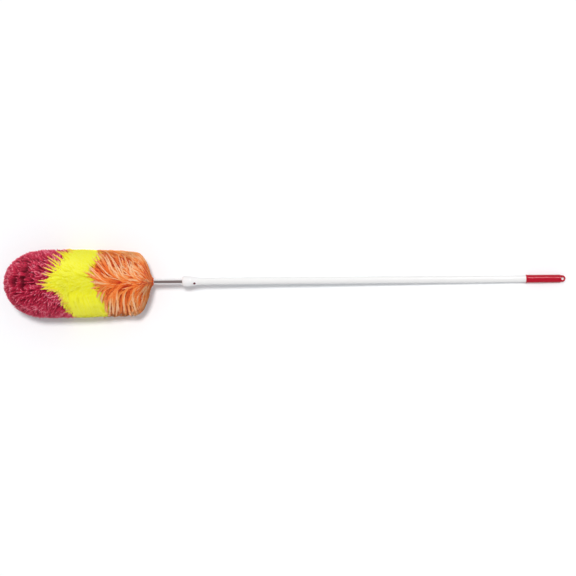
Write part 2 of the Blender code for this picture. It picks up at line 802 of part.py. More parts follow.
def corner_signs(face):
    """Which way each corner of a root lies from its middle, along the rows and round."""
    centre = face.calc_center_median()
    row = row_of(centre)
    turn = math.atan2(centre.y, centre.z)
    signs = []
    for vert in face.verts:
        side = math.sin(math.atan2(vert.co.y, vert.co.z) - turn)
        signs.append((math.copysign(1.0, row_of(vert.co) - row), math.copysign(1.0, side)))
    return signs


def grow(shape, face, chance):
    """Draws a root face out into one strand: two rings, then a point."""
    centre = face.calc_center_median()
    row = math.floor(sum(row_of(vert.co) for vert in face.verts) / len(face.verts)) + 0.5
    turn = math.atan2(centre.y, centre.z)
    signs = corner_signs(face)
    cell = math.tau / STRANDS_ROUND
    stagger = STAGGER_SHARE if math.floor(row) % 2 else -STAGGER_SHARE
    row_shift = chance.uniform(-JITTER_SHARE, JITTER_SHARE)
    turn_shift = cell * (stagger + chance.uniform(-JITTER_SHARE, JITTER_SHARE))
    for share, half in zip(RING_SHARES, HALF_WIDTH_SHARES):
        face = bmesh.ops.extrude_discrete_faces(shape, faces=[face])["faces"][0]
        for vert, (row_sign, turn_sign) in zip(face.verts, signs):
            corner_row = row + row_sign * half + row_shift * share
            corner_turn = turn + turn_sign * half * cell + turn_shift * share
            vert.co = on_floor(strand_point(corner_row, corner_turn, share))
    point = bmesh.ops.poke(shape, faces=[face])["verts"][0]
    length = 1.0 + chance.uniform(-TIP_JITTER_SHARE, TIP_JITTER_SHARE)
    point.co = on_floor(strand_point(row + row_shift, turn + turn_shift, length))


def fibres(name, finish):
    """One stretch of the head: a slice of the backing with all its strands."""
    first, last = ROWS_OF_ZONE[name]
    obj = backing(name, first, last)
    shape = bmesh.new()
    shape.from_mesh(obj.data)
    roots = strand_roots(shape)
    print(f"{name}: {len(roots)} strands")
    chance = random.Random(FIBRE_SEED + first)
    for root in roots:
        grow(shape, root, chance)
    bmesh.ops.recalc_face_normals(shape, faces=shape.faces)
    shape.to_mesh(obj.data)
    shape.free()
    return finished(obj, INNER_POLE, on_paths(last, ROOT_SIDE, ROOT_DOME)[0], finish)


def centre_on_floor(solids):
    """Moves the whole duster sideways, so its box stands centred on the origin."""
    bpy.context.view_layer.update()
    corners = [obj.matrix_world @ vert.co for obj in solids for vert in obj.data.vertices]
    for axis in (0, 1):
        values = [corner[axis] for corner in corners]
        POLE.location[axis] -= (min(values) + max(values)) / 2
    bpy.context.view_layer.update()


def print_places():
    """Prints where the axis and the hang hole lie, in world metres."""
    ahead = POLE.matrix_world.to_3x3() @ Vector((-1.0, 0.0, 0.0))
    print(f"tilt {math.degrees(POLE_TILT):.4f} degrees, reach {REACH:.5f}, length {POLE_END:.5f}")
    print("axis towards the head", tuple(round(value, 6) for value in ahead))
    places = {
        "ring": RING_AT,
        "nut": NUT_AT,
        "tail guide": GUIDE_AT,
        "hang hole": HANG_HOLE_AT,
        "pole end": POLE_END,
    }
    for label, x in places.items():
        place = POLE.matrix_world @ Vector((x, 0.0, 0.0))
        print(label, tuple(round(value, 6) for value in place))


clear_scene()
DUSTER = new_collection("telescopic_duster")
CUTTERS = new_collection("cutters", hidden=True)
POLE = new_axis("pole_axis")
CLAMP = new_axis("clamp_axis", POLE)
NUT = new_axis("nut_axis", CLAMP)
SLIDER = new_axis("slider_axis", POLE)
INNER_POLE = new_axis("inner_pole_axis", SLIDER)

PIN_HOLE = pin_hole_cutter()
PIECES = [
    outer_tube(PIN_HOLE),
    hand_grip(),
    collar_body(PIN_HOLE),
    collar_pin(),
    clamp_ring(),
    lock_nut(),
    tail_guide(),
    inner_tube(),
    tail_plug(),
    head_plug(),
    core_wire(),
    fibres("tip_tuft", CRIMSON_FIBRE),
    fibres("tip_fibres", CRIMSON_FIBRE),
    fibres("middle_fibres", YELLOW_FIBRE),
    fibres("base_fibres", ORANGE_FIBRE),
]
POLE.rotation_euler = (0.0, POLE_TILT, 0.0)
POLE.location = (0.0, 0.0, TIP_HEIGHT)
centre_on_floor(PIECES)
print_places()
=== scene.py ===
"""The looks of the telescopic duster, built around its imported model.

The fibre head is grown as combed locks of tapered fibres, the tubes and the collar
get finer surfaces, and every piece gets its finish. Lengths are in metres. Places on
the duster are given along its pole: x runs from the tip of the head to the hang hole,
r is the distance from the pole's axis, and turn is the angle about it, 0 at the top.
"""

import json
import math
import random

import bmesh
import bpy
from mathutils import Matrix, Vector, noise


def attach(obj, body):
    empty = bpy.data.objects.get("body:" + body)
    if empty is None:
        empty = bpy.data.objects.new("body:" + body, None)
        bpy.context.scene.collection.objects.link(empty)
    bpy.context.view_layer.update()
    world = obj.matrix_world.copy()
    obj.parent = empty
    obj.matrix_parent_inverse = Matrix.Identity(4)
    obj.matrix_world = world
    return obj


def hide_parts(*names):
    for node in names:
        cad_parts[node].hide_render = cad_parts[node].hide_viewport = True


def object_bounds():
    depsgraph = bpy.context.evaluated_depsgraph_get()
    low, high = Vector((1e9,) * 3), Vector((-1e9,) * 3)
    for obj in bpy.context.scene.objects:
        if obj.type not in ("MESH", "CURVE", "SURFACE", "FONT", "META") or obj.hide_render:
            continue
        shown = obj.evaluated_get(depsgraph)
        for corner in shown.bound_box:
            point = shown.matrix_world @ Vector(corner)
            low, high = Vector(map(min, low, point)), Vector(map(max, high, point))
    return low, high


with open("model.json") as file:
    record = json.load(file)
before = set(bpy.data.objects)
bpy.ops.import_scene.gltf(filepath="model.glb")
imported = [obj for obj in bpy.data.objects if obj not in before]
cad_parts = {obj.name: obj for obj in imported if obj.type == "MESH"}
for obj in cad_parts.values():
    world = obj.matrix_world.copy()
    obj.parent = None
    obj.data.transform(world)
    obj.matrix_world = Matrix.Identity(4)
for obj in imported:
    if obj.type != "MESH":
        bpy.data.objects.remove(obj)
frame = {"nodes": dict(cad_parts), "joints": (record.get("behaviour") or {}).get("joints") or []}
CAD_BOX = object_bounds()

# The photograph's frame, in pixels, and where the duster lies in it
PICTURE_SIDE = 576
PICTURE_CENTRE = (285.8, 280.7)
PICTURE_TILT = math.radians(0.43)
METRES_PER_PIXEL = 0.002320
VIEW_ANGLE = math.radians(12.0)

# Outline of the fibre pile, from the shoulder at the neck to the tip of the dome
DOME_LENGTH = 0.0950
BARREL_LENGTH = 0.0950
HEAD_RADIUS = 0.0778
SHOULDER = (
    (0.3372, 0.0145), (0.3328, 0.0305), (0.3264, 0.0462),
    (0.3196, 0.0585), (0.3116, 0.0664), (0.3000, 0.0706),
)
TIP_FIBRES = 0.0020
OUTLINE_STEPS = 48
SLOPE_STEP = 0.0015

# The pile lies over towards the photograph's lower side, where its shoulder is fuller
HEAD_SAG = 0.0036
SHOULDER_SAG = 0.0035
SHOULDER_SAG_AT = 0.285
SHOULDER_SAG_WIDTH = 0.055

# Core that the fibres grow from
NECK_AT = 0.3445
NECK_RADIUS = 0.0066
CORE_RADIUS = 0.0060
KNOB_CENTRE = 0.0780
DOME_ROOT_SETBACK = 0.0230
FACE_ROOTS = 0.0160

# Fibres. Those of one lock lie side by side, those at its edges lower by the crown
LOCK_FIBRES = 9
LOCK_CROWN = 1.2
SIDE_JITTER = 0.25
FIBRE_RADIUS = 0.00040
FIBRE_SIDES = 3
END_TAPER = 0.55
TAPER_POWER = 4.0
WAVES = 70.0
WAVINESS = 0.003
WAVE_OFFSET = 5.0
TONE_SPREAD = 0.12
OUTWARD_SHADING = 0.6
FLOOR_CLEARANCE = 0.0004
FLOOR_EASING = 0.002
FIBRE_SEED = 41
SEED_STEP = 10

# Blender's vector noise is seeded by the clock unless it is given a seed
DRIFT_SEED = 12
DRIFT_SCALE = 60.0

# The fibres' map: the width that one fibre has on it, the ends of the fibre's length, and
# the share of the map, in its middle, that holds the tones from 0 to 1
FIBRE_MAP = "OFBake"
MAP_WIDTH = 0.008
MAP_START = 0.01
MAP_END = 0.98
TONES_ON_MAP = 0.5

# Each filament's colours, in the deep of a lock, along it, towards its end and at the end. The deep
# colour is painted shade in the depth of the pile, and the paler end colours of crimson and orange
# are painted highlight
FILAMENTS = {
    "crimson": ((0.15, 0.002, 0.014), (0.63, 0.014, 0.062), (0.80, 0.055, 0.122), (0.92, 0.25, 0.34)),
    "yellow": ((0.90, 0.80, 0.008), (0.99, 0.94, 0.016), (1.00, 0.955, 0.032), (1.00, 0.96, 0.07)),
    "tipped": ((0.90, 0.80, 0.008), (1.00, 0.90, 0.018), (1.00, 0.72, 0.060), (1.00, 0.58, 0.15)),
    "orange": ((0.62, 0.020, 0.004), (1.00, 0.185, 0.020), (1.00, 0.39, 0.105), (1.00, 0.58, 0.31)),
}
COLOUR_PLACES = (0.42, 0.72, 0.94, 1.0)
TONE_SHIFT = 0.6
SHEENS = {"crimson": 0.45, "yellow": 1.0, "tipped": 1.0, "orange": 1.0}
SHEEN_ROUGHNESS = 0.5
FIBRE_ROUGHNESS = 0.5
FIBRE_SPECULAR = 0.35

# A lock rises from its root, past a bend, to its crest, and lies over the pile from there.
# Its way from root to end is 1, and the bend and the crest have these shares of it
BEND_SHARE = 0.25
CREST_SHARE = 0.5
BEND_HEIGHT = 0.55
DEEPEST_CREST = 0.9
LONGEST_LOCK = 1.2
STEEPEST_SIDE = 0.15
FEWEST_IN_RING = 3

# It lies sunk at first. A short lock, of so few steps, comes up evenly, a longer one over
# its first length. Past the front that it stays behind, it goes on at a small part of its pace
START_SUNK = 0.8
SHORT_STEPS = 2
SURFACING = 0.0160
HELD_PACE = 0.1

# How much of the mottle is the same all round a lock, and how much is its own
DRIFT_MOTTLE = 2.0
LOCK_MOTTLE = 0.8

# How raggedly one colour gives way to the next
ORANGE_RAGGED = 0.0055
YELLOW_RAGGED = 0.0013
FRONT_OVERLAP = 0.0040

# A fountain's strands leave its line by so many degrees, each in this part of its own room
FOUNTAIN_SPREAD = 5.0
STRAND_ROOM = (0.1, 0.9)

# Where the yellow tuft stands: ahead of the yellow's front by so much, and about which turn
TUFT_AHEAD = (-0.001, 0.012)
TUFT_TURN = 0.15
TUFT_HALF_TURN = 1.2

# The strands from the top cover the orange between these turns, in degrees
COVERED_TURNS = (-84, 58)

# Partings between rings of crimson fibres on top of the dome: the place x, how much the
# parting curves, and the turns in degrees that it runs between
PARTINGS = ((0.0255, 9.0, -24, 36), (0.0460, 6.5, -16, 54))
PARTING_WIDTH = 0.0026
PARTING_LEAN = 0.0100
PARTING_REACH = 0.40
# Locks beside a parting are deeper in tone by up to this much: painted shade in the parting
PAINTED_PARTING_SHADE = 0.40

# Hard pieces: points closer than this are one, and edges sharper than this stay sharp
SAME_POINT = 0.000002
SHARP_EDGE = math.radians(35)

# Domed head of the locating pin, which lies on the collar's round tail
PIN_HEAD_RADIUS = 0.0029
PIN_HEAD_DOME = 0.0005
PIN_HEAD_SUNK = 0.0001
PIN_PROUD = 0.0002
PIN_RINGS = 6
PIN_SPOKES = 40

# Floor, lights, and the cards over the duster: two opposite corners and the light of each
FLOOR_SIDE = 30.0
PAPER_WHITE = 0.93
PAPER_GLOW = 0.05
KEY_DIRECTION = (-0.05, 0.17, 1.0)
KEY_STRENGTH = 1.98
KEY_SOFTNESS = math.radians(9)
LOW_FILL_DIRECTION = (0.15, -1.0, 0.25)
LOW_FILL_STRENGTH = 0.82
HIGH_FILL_DIRECTION = (-0.1, 1.0, 0.25)
HIGH_FILL_STRENGTH = 0.56
FILL_SOFTNESS = math.radians(55)
SKY_STRENGTH = 0.44
SKY_COLOUR = (0.96, 1.00, 1.06)
CARDS = (
    ("dim_ceiling", (-15.0, -9.0, 1.60), (15.0, 1.7, 1.60), (0.27, 0.212, 0.208)),
    ("far_softbox", (-15.0, 1.7, 1.60), (0.88, 9.0, 1.60), (1.55, 1.52, 1.52)),
    ("grip_strip", (0.88, 0.78, 1.55), (2.00, 1.60, 1.55), (24.0, 24.0, 24.0)),
)

# The fibre pieces, which are all that the two fill lights reach
FIBRE_HEAD = bpy.data.collections.new("fibre_head")


class Wiring:
    """Short calls that add and link the nodes of one tree."""

    # A Mix node's own numbers of its two values and its result, by the kind of value
    MIX_SOCKETS = {"RGBA": (6, 7, 2), "VECTOR": (4, 5, 1)}

    def __init__(self, tree):
        self.tree = tree

    def node(self, kind, inputs=None, **settings):
        """A new node with its settings, and then its inputs by their names or numbers."""
        node = self.tree.nodes.new(kind)
        for name, value in settings.items():
            setattr(node, name, value)
        self.fill(node, inputs or {})
        return node

    def fill(self, node, inputs):
        for key, value in inputs.items():
            self.feed(node.inputs[key], value)

    def feed(self, socket, value):
        """Links a socket to another node's output, or sets the socket's own value."""
        if isinstance(value, bpy.types.NodeSocket):
            self.tree.links.new(value, socket)
        else:
            socket.default_value = value

    def maths(self, operation, *values, clamp=False):
        inputs = dict(enumerate(values))
        node = self.node("ShaderNodeMath", inputs, operation=operation, use_clamp=clamp)
        return node.outputs["Value"]

    def vector(self, operation, *values):
        inputs = dict(enumerate(values))
        return self.node("ShaderNodeVectorMath", inputs, operation=operation).outputs["Vector"]

    def scaled(self, vector, factor):
        inputs = {"Vector": vector, "Scale": factor}
        return self.node("ShaderNodeVectorMath", inputs, operation="SCALE").outputs["Vector"]

    def split(self, vector):
        node = self.node("ShaderNodeSeparateXYZ", {"Vector": vector})
        return [node.outputs[axis] for axis in "XYZ"]

    def joined(self, x, y, z=0.0):
        return self.node("ShaderNodeCombineXYZ", {"X": x, "Y": y, "Z": z}).outputs["Vector"]

    def mixed(self, factor, first, second, kind="RGBA"):
        low, high, result = self.MIX_SOCKETS[kind]
        inputs = {0: factor, low: first, high: second}
        return self.node("ShaderNodeMix", inputs, data_type=kind).outputs[result]

    def ramp(self, factor, places, colours):
        """A colour ramp through the colours, each at its place."""
        node = self.node("ShaderNodeValToRGB", {"Fac": factor})
        elements = node.color_ramp.elements
        while len(elements) < len(colours):
            elements.new(1.0)
        for element, place, colour in zip(elements, places, colours):
            element.position = place
            element.color = (*colour, 1.0)
        return node.outputs["Color"]

    def seen_by(self, *rays):
        """1 for these kinds of ray, and 0 for the others."""
        path = self.node("ShaderNodeLightPath")
        seen = path.outputs[rays[0]]
        for ray in rays[1:]:
            seen = self.maths("MAXIMUM", seen, path.outputs[ray])
        return seen


def blank_wiring(owner):
    """The wiring of a material or a world, with its first nodes taken out."""
    owner.use_nodes = True
    owner.node_tree.nodes.clear()
    return Wiring(owner.node_tree)


def placed(name, data):
    """An object for a mesh, a lamp or a camera, in the scene."""
    piece = bpy.data.objects.new(name, data)
    bpy.context.scene.collection.objects.link(piece)
    return piece


# The pole's own axes, taken from the joint that the head turns on
def pole_matrix():
    """From places along the pole to the frame's world: x from the head's tip, z up."""
    turn = next(joint for joint in frame["joints"] if joint["name"] == "head_turn")
    back = -Vector(turn["axis"]).normalized()
    side = Vector((0.0, 0.0, 1.0)).cross(back).normalized()
    up = back.cross(side)
    place = Vector(turn["pos_m"])
    tips = [(vert.co - place).dot(back) for vert in frame["nodes"]["tip_tuft"].data.vertices]
    origin = place + back * min(tips)
    axes = Matrix((back, side, up)).transposed().to_4x4()
    return Matrix.Translation(origin) @ axes


POLE = pole_matrix()
TO_POLE = POLE.inverted()


# Finishes
def new_material(name):
    """An empty material with a Principled shader, and its wiring."""
    material = bpy.data.materials.new(name)
    material.use_nodes = True
    shader = material.node_tree.nodes["Principled BSDF"]
    return material, shader, Wiring(material.node_tree)


def fibre_finish(filament):
    """Colour runs from deep at the root to pale at the end, by each fibre's own tone. The deep root
    colour is painted shade in the depth of the pile, and the pale ends of crimson and orange are
    painted highlight.

    The fibres' map holds the tone across, and the share of the fibre's length upwards.
    """
    material, shader, wiring = new_material(f"{filament}_filament")
    lie = wiring.node("ShaderNodeUVMap", uv_map=FIBRE_MAP)
    tone, share, _ = wiring.split(lie.outputs["UV"])
    shift = wiring.maths("SUBTRACT", tone, 0.5)
    shift = wiring.maths("MULTIPLY", shift, TONE_SHIFT / TONES_ON_MAP)
    place = wiring.maths("ADD", share, shift, clamp=True)
    colours = FILAMENTS[filament]
    wiring.fill(shader, {
        "Base Color": wiring.ramp(place, COLOUR_PLACES, colours),
        "Roughness": FIBRE_ROUGHNESS,
        "Specular IOR Level": FIBRE_SPECULAR,
        "Sheen Weight": SHEENS[filament],
        "Sheen Roughness": SHEEN_ROUGHNESS,
        "Sheen Tint": (*colours[2], 1.0),
    })
    return material


def bumped(wiring, shader, height, strength, distance):
    inputs = {"Strength": strength, "Distance": distance, "Height": height}
    bump = wiring.node("ShaderNodeBump", inputs)
    wiring.feed(shader.inputs["Normal"], bump.outputs["Normal"])


def grain(wiring, scale, detail=3.0, stretch=(1.0, 1.0, 1.0)):
    """Noise on the piece's own coordinates. A stretch below 1 draws it out along that axis."""
    places = wiring.node("ShaderNodeTexCoord").outputs["Object"]
    mapping = wiring.node("ShaderNodeMapping", {"Scale": stretch, "Vector": places})
    inputs = {"Scale": scale, "Detail": detail, "Vector": mapping.outputs["Vector"]}
    return wiring.node("ShaderNodeTexNoise", inputs).outputs["Fac"]


def clouded(wiring, cloud, shade, colour):
    """A colour that drifts between two close shades."""
    return wiring.mixed(cloud, (*shade, 1.0), (*colour, 1.0))


def worn(wiring, wear, smoothest, spread):
    """Roughness from its smoothest up, by the spread where the wear is greatest."""
    return wiring.maths("MULTIPLY_ADD", wear, spread, smoothest)


def moulded_plastic(name, colour, shade, roughness, coat=0.0, specular=0.5):
    """Moulded plastic: a faint cloudiness of colour, and a very fine skin."""
    material, shader, wiring = new_material(name)
    wear = grain(wiring, scale=900.0, detail=4.0)
    wiring.fill(shader, {
        "Base Color": clouded(wiring, grain(wiring, scale=60.0), shade, colour),
        "Roughness": worn(wiring, wear, smoothest=roughness - 0.08, spread=0.16),
        "Specular IOR Level": specular,
        "Coat Weight": coat,
        "Coat Roughness": 0.09,
    })
    bumped(wiring, shader, grain(wiring, scale=2600.0), strength=0.12, distance=0.0002)
    return material


def white_paint():
    """Powder coat on steel: near white, with the fine dimples of baked powder."""
    material, shader, wiring = new_material("white_powder_coat")
    cloud = grain(wiring, scale=26.0)
    wear = grain(wiring, scale=700.0, stretch=(0.15, 1.0, 1.0))
    wiring.fill(shader, {
        "Base Color": clouded(wiring, cloud, (0.872, 0.853, 0.828), (0.908, 0.888, 0.862)),
        "Roughness": worn(wiring, wear, smoothest=0.26, spread=0.2),
    })
    dimples = grain(wiring, scale=1500.0, detail=1.0)
    bumped(wiring, shader, dimples, strength=0.15, distance=0.0003)
    return material


def bright_steel():
    """Polished tube: drawn lines along its length, hardly seen, and soft smears."""
    material, shader, wiring = new_material("bright_steel_tube")
    cloud = grain(wiring, scale=40.0)
    lines = grain(wiring, scale=1800.0, stretch=(0.01, 1.0, 1.0))
    wiring.fill(shader, {
        "Metallic": 1.0,
        "Base Color": clouded(wiring, cloud, (0.72, 0.70, 0.70), (0.80, 0.79, 0.78)),
        "Roughness": worn(wiring, lines, smoothest=0.03, spread=0.07),
    })
    bumped(wiring, shader, lines, strength=0.05, distance=0.0001)
    return material


def wire_steel():
    """Galvanised wire: grey zinc in fine patches, which are rougher where they are paler."""
    material, shader, wiring = new_material("galvanised_wire")
    cloud = grain(wiring, scale=400.0)
    wiring.fill(shader, {
        "Metallic": 1.0,
        "Base Color": clouded(wiring, cloud, (0.36, 0.36, 0.37), (0.55, 0.55, 0.56)),
        "Roughness": worn(wiring, cloud, smoothest=0.25, spread=0.3),
    })
    return material


# Pole, collar and grip
def replica(node, name, finish):
    """A smooth copy of a frame node, with its loose triangles joined."""
    mesh = frame["nodes"][node].data.copy()
    mesh.name = name
    shape = bmesh.new()
    shape.from_mesh(mesh)
    bmesh.ops.remove_doubles(shape, verts=shape.verts, dist=SAME_POINT)
    for edge in shape.edges:
        edge.smooth = len(edge.link_faces) == 2 and edge.calc_face_angle(0.0) < SHARP_EDGE
    for face in shape.faces:
        face.smooth = True
    shape.to_mesh(mesh)
    shape.free()
    if "custom_normal" in mesh.attributes:
        mesh.attributes.remove(mesh.attributes["custom_normal"])
    mesh.materials.clear()
    mesh.materials.append(finish)
    return placed(name, mesh)


def pin_with_head(node, name, finish):
    """The locating pin, from the frame's pin, with a low domed head on the collar's tail."""
    places = [TO_POLE @ vert.co for vert in frame["nodes"][node].data.vertices]
    middle = sum(places, Vector()) / len(places)
    turn = math.atan2(middle.y, middle.z)
    outward = at(0.0, 1.0, turn)
    sideways = at(0.0, 1.0, turn + math.pi / 2)
    heights = [place.dot(outward) for place in places]
    seat = max(heights) - PIN_PROUD
    foot = min(heights)
    shank = (max(place.x for place in places) - min(place.x for place in places)) / 2

    def ring(radius, above=0.0, height=None):
        """Points round the pin, so far above the tail's round surface or at a height."""
        points = []
        for spoke in range(PIN_SPOKES):
            angle = math.tau * spoke / PIN_SPOKES
            across = radius * math.sin(angle)
            level = height
            if height is None:
                level = math.sqrt(seat ** 2 - across ** 2) + above
            place = Vector((middle.x + radius * math.cos(angle), 0.0, 0.0))
            points.append(POLE @ (place + outward * level + sideways * across))
        return points

    slopes = [math.pi / 2 * (step + 1) / PIN_RINGS for step in range(PIN_RINGS)]
    rings = [ring(PIN_HEAD_RADIUS * math.sin(a), PIN_HEAD_DOME * math.cos(a)) for a in slopes]
    rings += [
        ring(PIN_HEAD_RADIUS, -PIN_HEAD_SUNK),
        ring(shank, -PIN_HEAD_SUNK),
        ring(shank, height=foot),
    ]
    shape = bmesh.new()
    rows = [[shape.verts.new(place) for place in points] for points in rings]
    for upper, lower in zip(rows, rows[1:]):
        for spoke in range(PIN_SPOKES):
            beside = (spoke + 1) % PIN_SPOKES
            shape.faces.new((upper[spoke], lower[spoke], lower[beside], upper[beside]))
    for row, level in ((rows[0], seat + PIN_HEAD_DOME), (rows[-1], foot)):
        centre = shape.verts.new(POLE @ (Vector((middle.x, 0.0, 0.0)) + outward * level))
        for spoke in range(PIN_SPOKES):
            shape.faces.new((centre, row[spoke], row[(spoke + 1) % PIN_SPOKES]))
    bmesh.ops.recalc_face_normals(shape, faces=shape.faces)
    mesh = bpy.data.meshes.new(name)
    shape.to_mesh(mesh)
    shape.free()
    mesh.shade_smooth()
    mesh.set_sharp_from_angle(angle=SHARP_EDGE)
    mesh.materials.append(finish)
    return placed(name, mesh)


def dress(piece, node, body):
    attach(piece, body)
    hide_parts(node)


# Fibre head
def quarter(centre, reach, radius):
    """A quarter ellipse of (x, r) points from the full radius to the axis, tipwards."""
    angles = [math.pi / 2 * step / OUTLINE_STEPS for step in range(OUTLINE_STEPS + 1)]
    return [(centre - reach * math.sin(a), radius * math.cos(a)) for a in angles]


def path_length(path):
    return sum(math.dist(here, there) for here, there in zip(path, path[1:]))


def along(path, distance):
    """The (x, r) point at a distance along a path."""
    distance = max(distance, 0.0)
    for here, there in zip(path, path[1:]):
        step = math.dist(here, there)
        if distance <= step:
            return Vector(here).lerp(Vector(there), distance / step)
        distance -= step
    return Vector(path[-1])


# The pile's outline is its face at the neck, its side and its dome. A distance along it is
# counted from the neck, and so is one along the core
TAPER_AT = DOME_LENGTH + BARREL_LENGTH
NECK = (NECK_AT, NECK_RADIUS)
DOME = quarter(DOME_LENGTH, DOME_LENGTH - TIP_FIBRES, HEAD_RADIUS)
PILE_FACE = [NECK, *SHOULDER]
PILE_SIDE = [SHOULDER[-1], (TAPER_AT, HEAD_RADIUS), (DOME_LENGTH, HEAD_RADIUS)]
PILE_LINE = PILE_FACE + PILE_SIDE[1:] + DOME[1:]
KNOB_AT = DOME_LENGTH + DOME_ROOT_SETBACK
CORE_LINE = [NECK, (KNOB_AT, CORE_RADIUS)] + quarter(KNOB_CENTRE, CORE_RADIUS, CORE_RADIUS)
FACE_REACH = path_length(PILE_FACE)
SIDE_REACH = FACE_REACH + path_length(PILE_SIDE)
PILE_REACH = path_length(PILE_LINE)
CORE_REACH = path_length(CORE_LINE)


def on_pile(distance):
    """The point of the pile's outline at a distance from the neck, tipwards."""
    return along(PILE_LINE, min(distance, PILE_REACH))


def out_of_pile(distance):
    """The outward direction, as (x, r), of the pile's outline at a distance."""
    here = on_pile(distance - SLOPE_STEP)
    there = on_pile(distance + SLOPE_STEP)
    return Vector((there.y - here.y, here.x - there.x)).normalized()


def on_core(distance):
    """The point of the core that the fibres of that part of the pile grow from."""
    if distance < FACE_REACH:
        return along(CORE_LINE, FACE_ROOTS * distance / FACE_REACH)
    if distance < SIDE_REACH:
        share = (distance - FACE_REACH) / (SIDE_REACH - FACE_REACH)
        return along(CORE_LINE, FACE_ROOTS + (NECK_AT - KNOB_AT - FACE_ROOTS) * share)
    share = min((distance - SIDE_REACH) / (PILE_REACH - SIDE_REACH), 1.0)
    knob = CORE_REACH - (NECK_AT - KNOB_AT)
    return along(CORE_LINE, CORE_REACH - knob * (1.0 - share))


def distance_at(x):
    """The distance along the pile's outline of a place x on its side."""
    taper = path_length(PILE_SIDE[:2])
    start = SHOULDER[-1][0]
    if x >= TAPER_AT:
        return FACE_REACH + taper * (start - x) / (start - TAPER_AT)
    return FACE_REACH + taper + TAPER_AT - x


def at(x, r, turn):
    return Vector((x, r * math.sin(turn), r * math.cos(turn)))


def hump(value, centre, width):
    return math.exp(-(((value - centre) / width) ** 2))


def settled(x, r, turn):
    """A place in the pile, which lies a little over towards the photograph's lower side."""
    share = r / HEAD_RADIUS
    fullness = SHOULDER_SAG * hump(x, SHOULDER_SAG_AT, SHOULDER_SAG_WIDTH)
    place = at(x, r + fullness * max(0.0, -math.sin(turn)) * share, turn)
    place.y -= HEAD_SAG * share
    return place


def between(value, stops):
    """A value read off (place, value) stops joined by straight lines."""
    for (here, low), (there, high) in zip(stops, stops[1:]):
        if value <= there:
            return low + (high - low) * max(0.0, (value - here) / (there - here))
    return stops[-1][1]


def in_degrees(turn):
    """A turn in degrees, from -180 to 180."""
    return math.degrees(math.remainder(turn, math.tau))


# Where one colour gives way to the next: x in metres at turns in degrees
ORANGE_FRONT = (
    (-180, 0.218), (-65, 0.238), (-39, 0.234), (-20, 0.226), (-2, 0.213), (15, 0.204),
    (25, 0.203), (42, 0.214), (72, 0.223), (180, 0.218),
)
YELLOW_FRONT = (
    (-180, 0.152), (-75, 0.168), (-50, 0.155), (-36, 0.144), (-15, 0.134), (-6, 0.112),
    (4, 0.106), (20, 0.126), (40, 0.139), (68, 0.158), (180, 0.158),
)

# How far the locks of the yellow tuft lie over the pile, at turns in degrees
TUFT_REACH = (
    (-60, 0.012), (-20, 0.013), (-8, 0.028), (4, 0.032), (16, 0.034), (60, 0.034), (90, 0.014),
)


def front(turn, stops):
    return distance_at(between(in_degrees(turn), stops))


def zone_of(distance, turn, chance):
    if distance + chance.gauss(0.0, ORANGE_RAGGED) < front(turn, ORANGE_FRONT):
        return "orange"
    if distance + chance.gauss(0.0, YELLOW_RAGGED) < front(turn, YELLOW_FRONT):
        return "yellow"
    return "crimson"


def of_zone(zone):
    return lambda distance, turn, chance: zone_of(distance, turn, chance) == zone


def in_tuft(distance, turn, chance):
    """The yellow locks that lie over the crimson, along the front of the yellow."""
    nearest, furthest = TUFT_AHEAD
    ahead = front(turn, YELLOW_FRONT) - distance
    aside = abs(math.remainder(turn - TUFT_TURN, math.tau))
    return nearest < ahead < furthest and aside < TUFT_HALF_TURN


def orange_below(distance, turn, chance):
    """The orange that the strands from the top don't cover, with the whole of the face."""
    first, last = COVERED_TURNS
    bare = not first <= in_degrees(turn) <= last or distance < FACE_REACH
    return bare and zone_of(distance, turn, chance) == "orange"


# How the fibres are combed: the angle from straight towards the tip, at turns, in degrees
ORANGE_COMBING = (
    (-180, 10), (-125, -15), (-80, -78), (-30, -82), (-12, -45), (-4, -10), (4, 8), (12, 28),
    (30, 44), (70, 48), (115, 18), (180, 10),
)
YELLOW_COMBING = (
    (-180, 0), (-130, -40), (-75, -80), (-25, -70), (-8, -30), (6, 5), (25, 45), (75, 62),
    (130, 35), (180, 0),
)
CRIMSON_COMBING = (
    (-180, 0), (-120, -45), (-80, -62), (-40, -50), (-8, -10), (8, 10), (50, 55), (120, 40),
    (180, 0),
)
TUFT_COMBING = ((-60, -6), (-20, -24), (-6, -12), (4, 0), (20, 30), (45, 52), (75, 50))

# Strands that leave the pole's line bend aside: the angle at distances where they start
LOWER_BENDS = ((0.06, -98), (0.10, -90), (0.15, -80))
UPPER_BENDS = ((0.06, 84), (0.09, 68), (0.14, 42))
CENTRE_BENDS = ((0.06, 20), (0.14, 10))
YELLOW_BENDS = ((0.0, -106),)


class Fur:
    """One kind of lock. The values given here are those of the usual kind.

    The locks stand a spacing apart. Each comes up to its crest, sunk below the pile's
    outline, and lies over the pile for its reach, or one of its reaches by turn, in so many
    lying steps, to end proud of the outline, give or take the rough. It follows its combing,
    or bends aside over a length, strays with its neighbours, frizzes alone, and stays behind
    a front. Width, thickness and ragged ends are the lock's, and mottle varies its tone.
    """

    reach = None
    reaches = None
    proud = 0.0
    rough = 0.0012
    combing = None
    bends = None
    bends_over = None
    stays_behind = None
    strays = 0.35
    frizz = 0.1
    shortest = 0.8
    waviness = WAVINESS
    fibres = LOCK_FIBRES
    tone = 0.5
    mottle = 0.22
    shading = OUTWARD_SHADING

    def __init__(self, **measures):
        for name, value in measures.items():
            setattr(self, name, value)


def parting(spot, turn):
    """The signed share of its reach that a parting close by is away, or None."""
    degrees = in_degrees(turn)
    for place, curve, first, last in PARTINGS:
        if first < degrees < last:
            opening = math.sqrt(math.sin(math.pi * (degrees - first) / (last - first)))
            aside = spot.y * math.sin(turn)
            gap = (spot.x - place - curve * aside ** 2) / (PARTING_LEAN * opening)
            if abs(gap) < 1.0:
                return gap
    return None


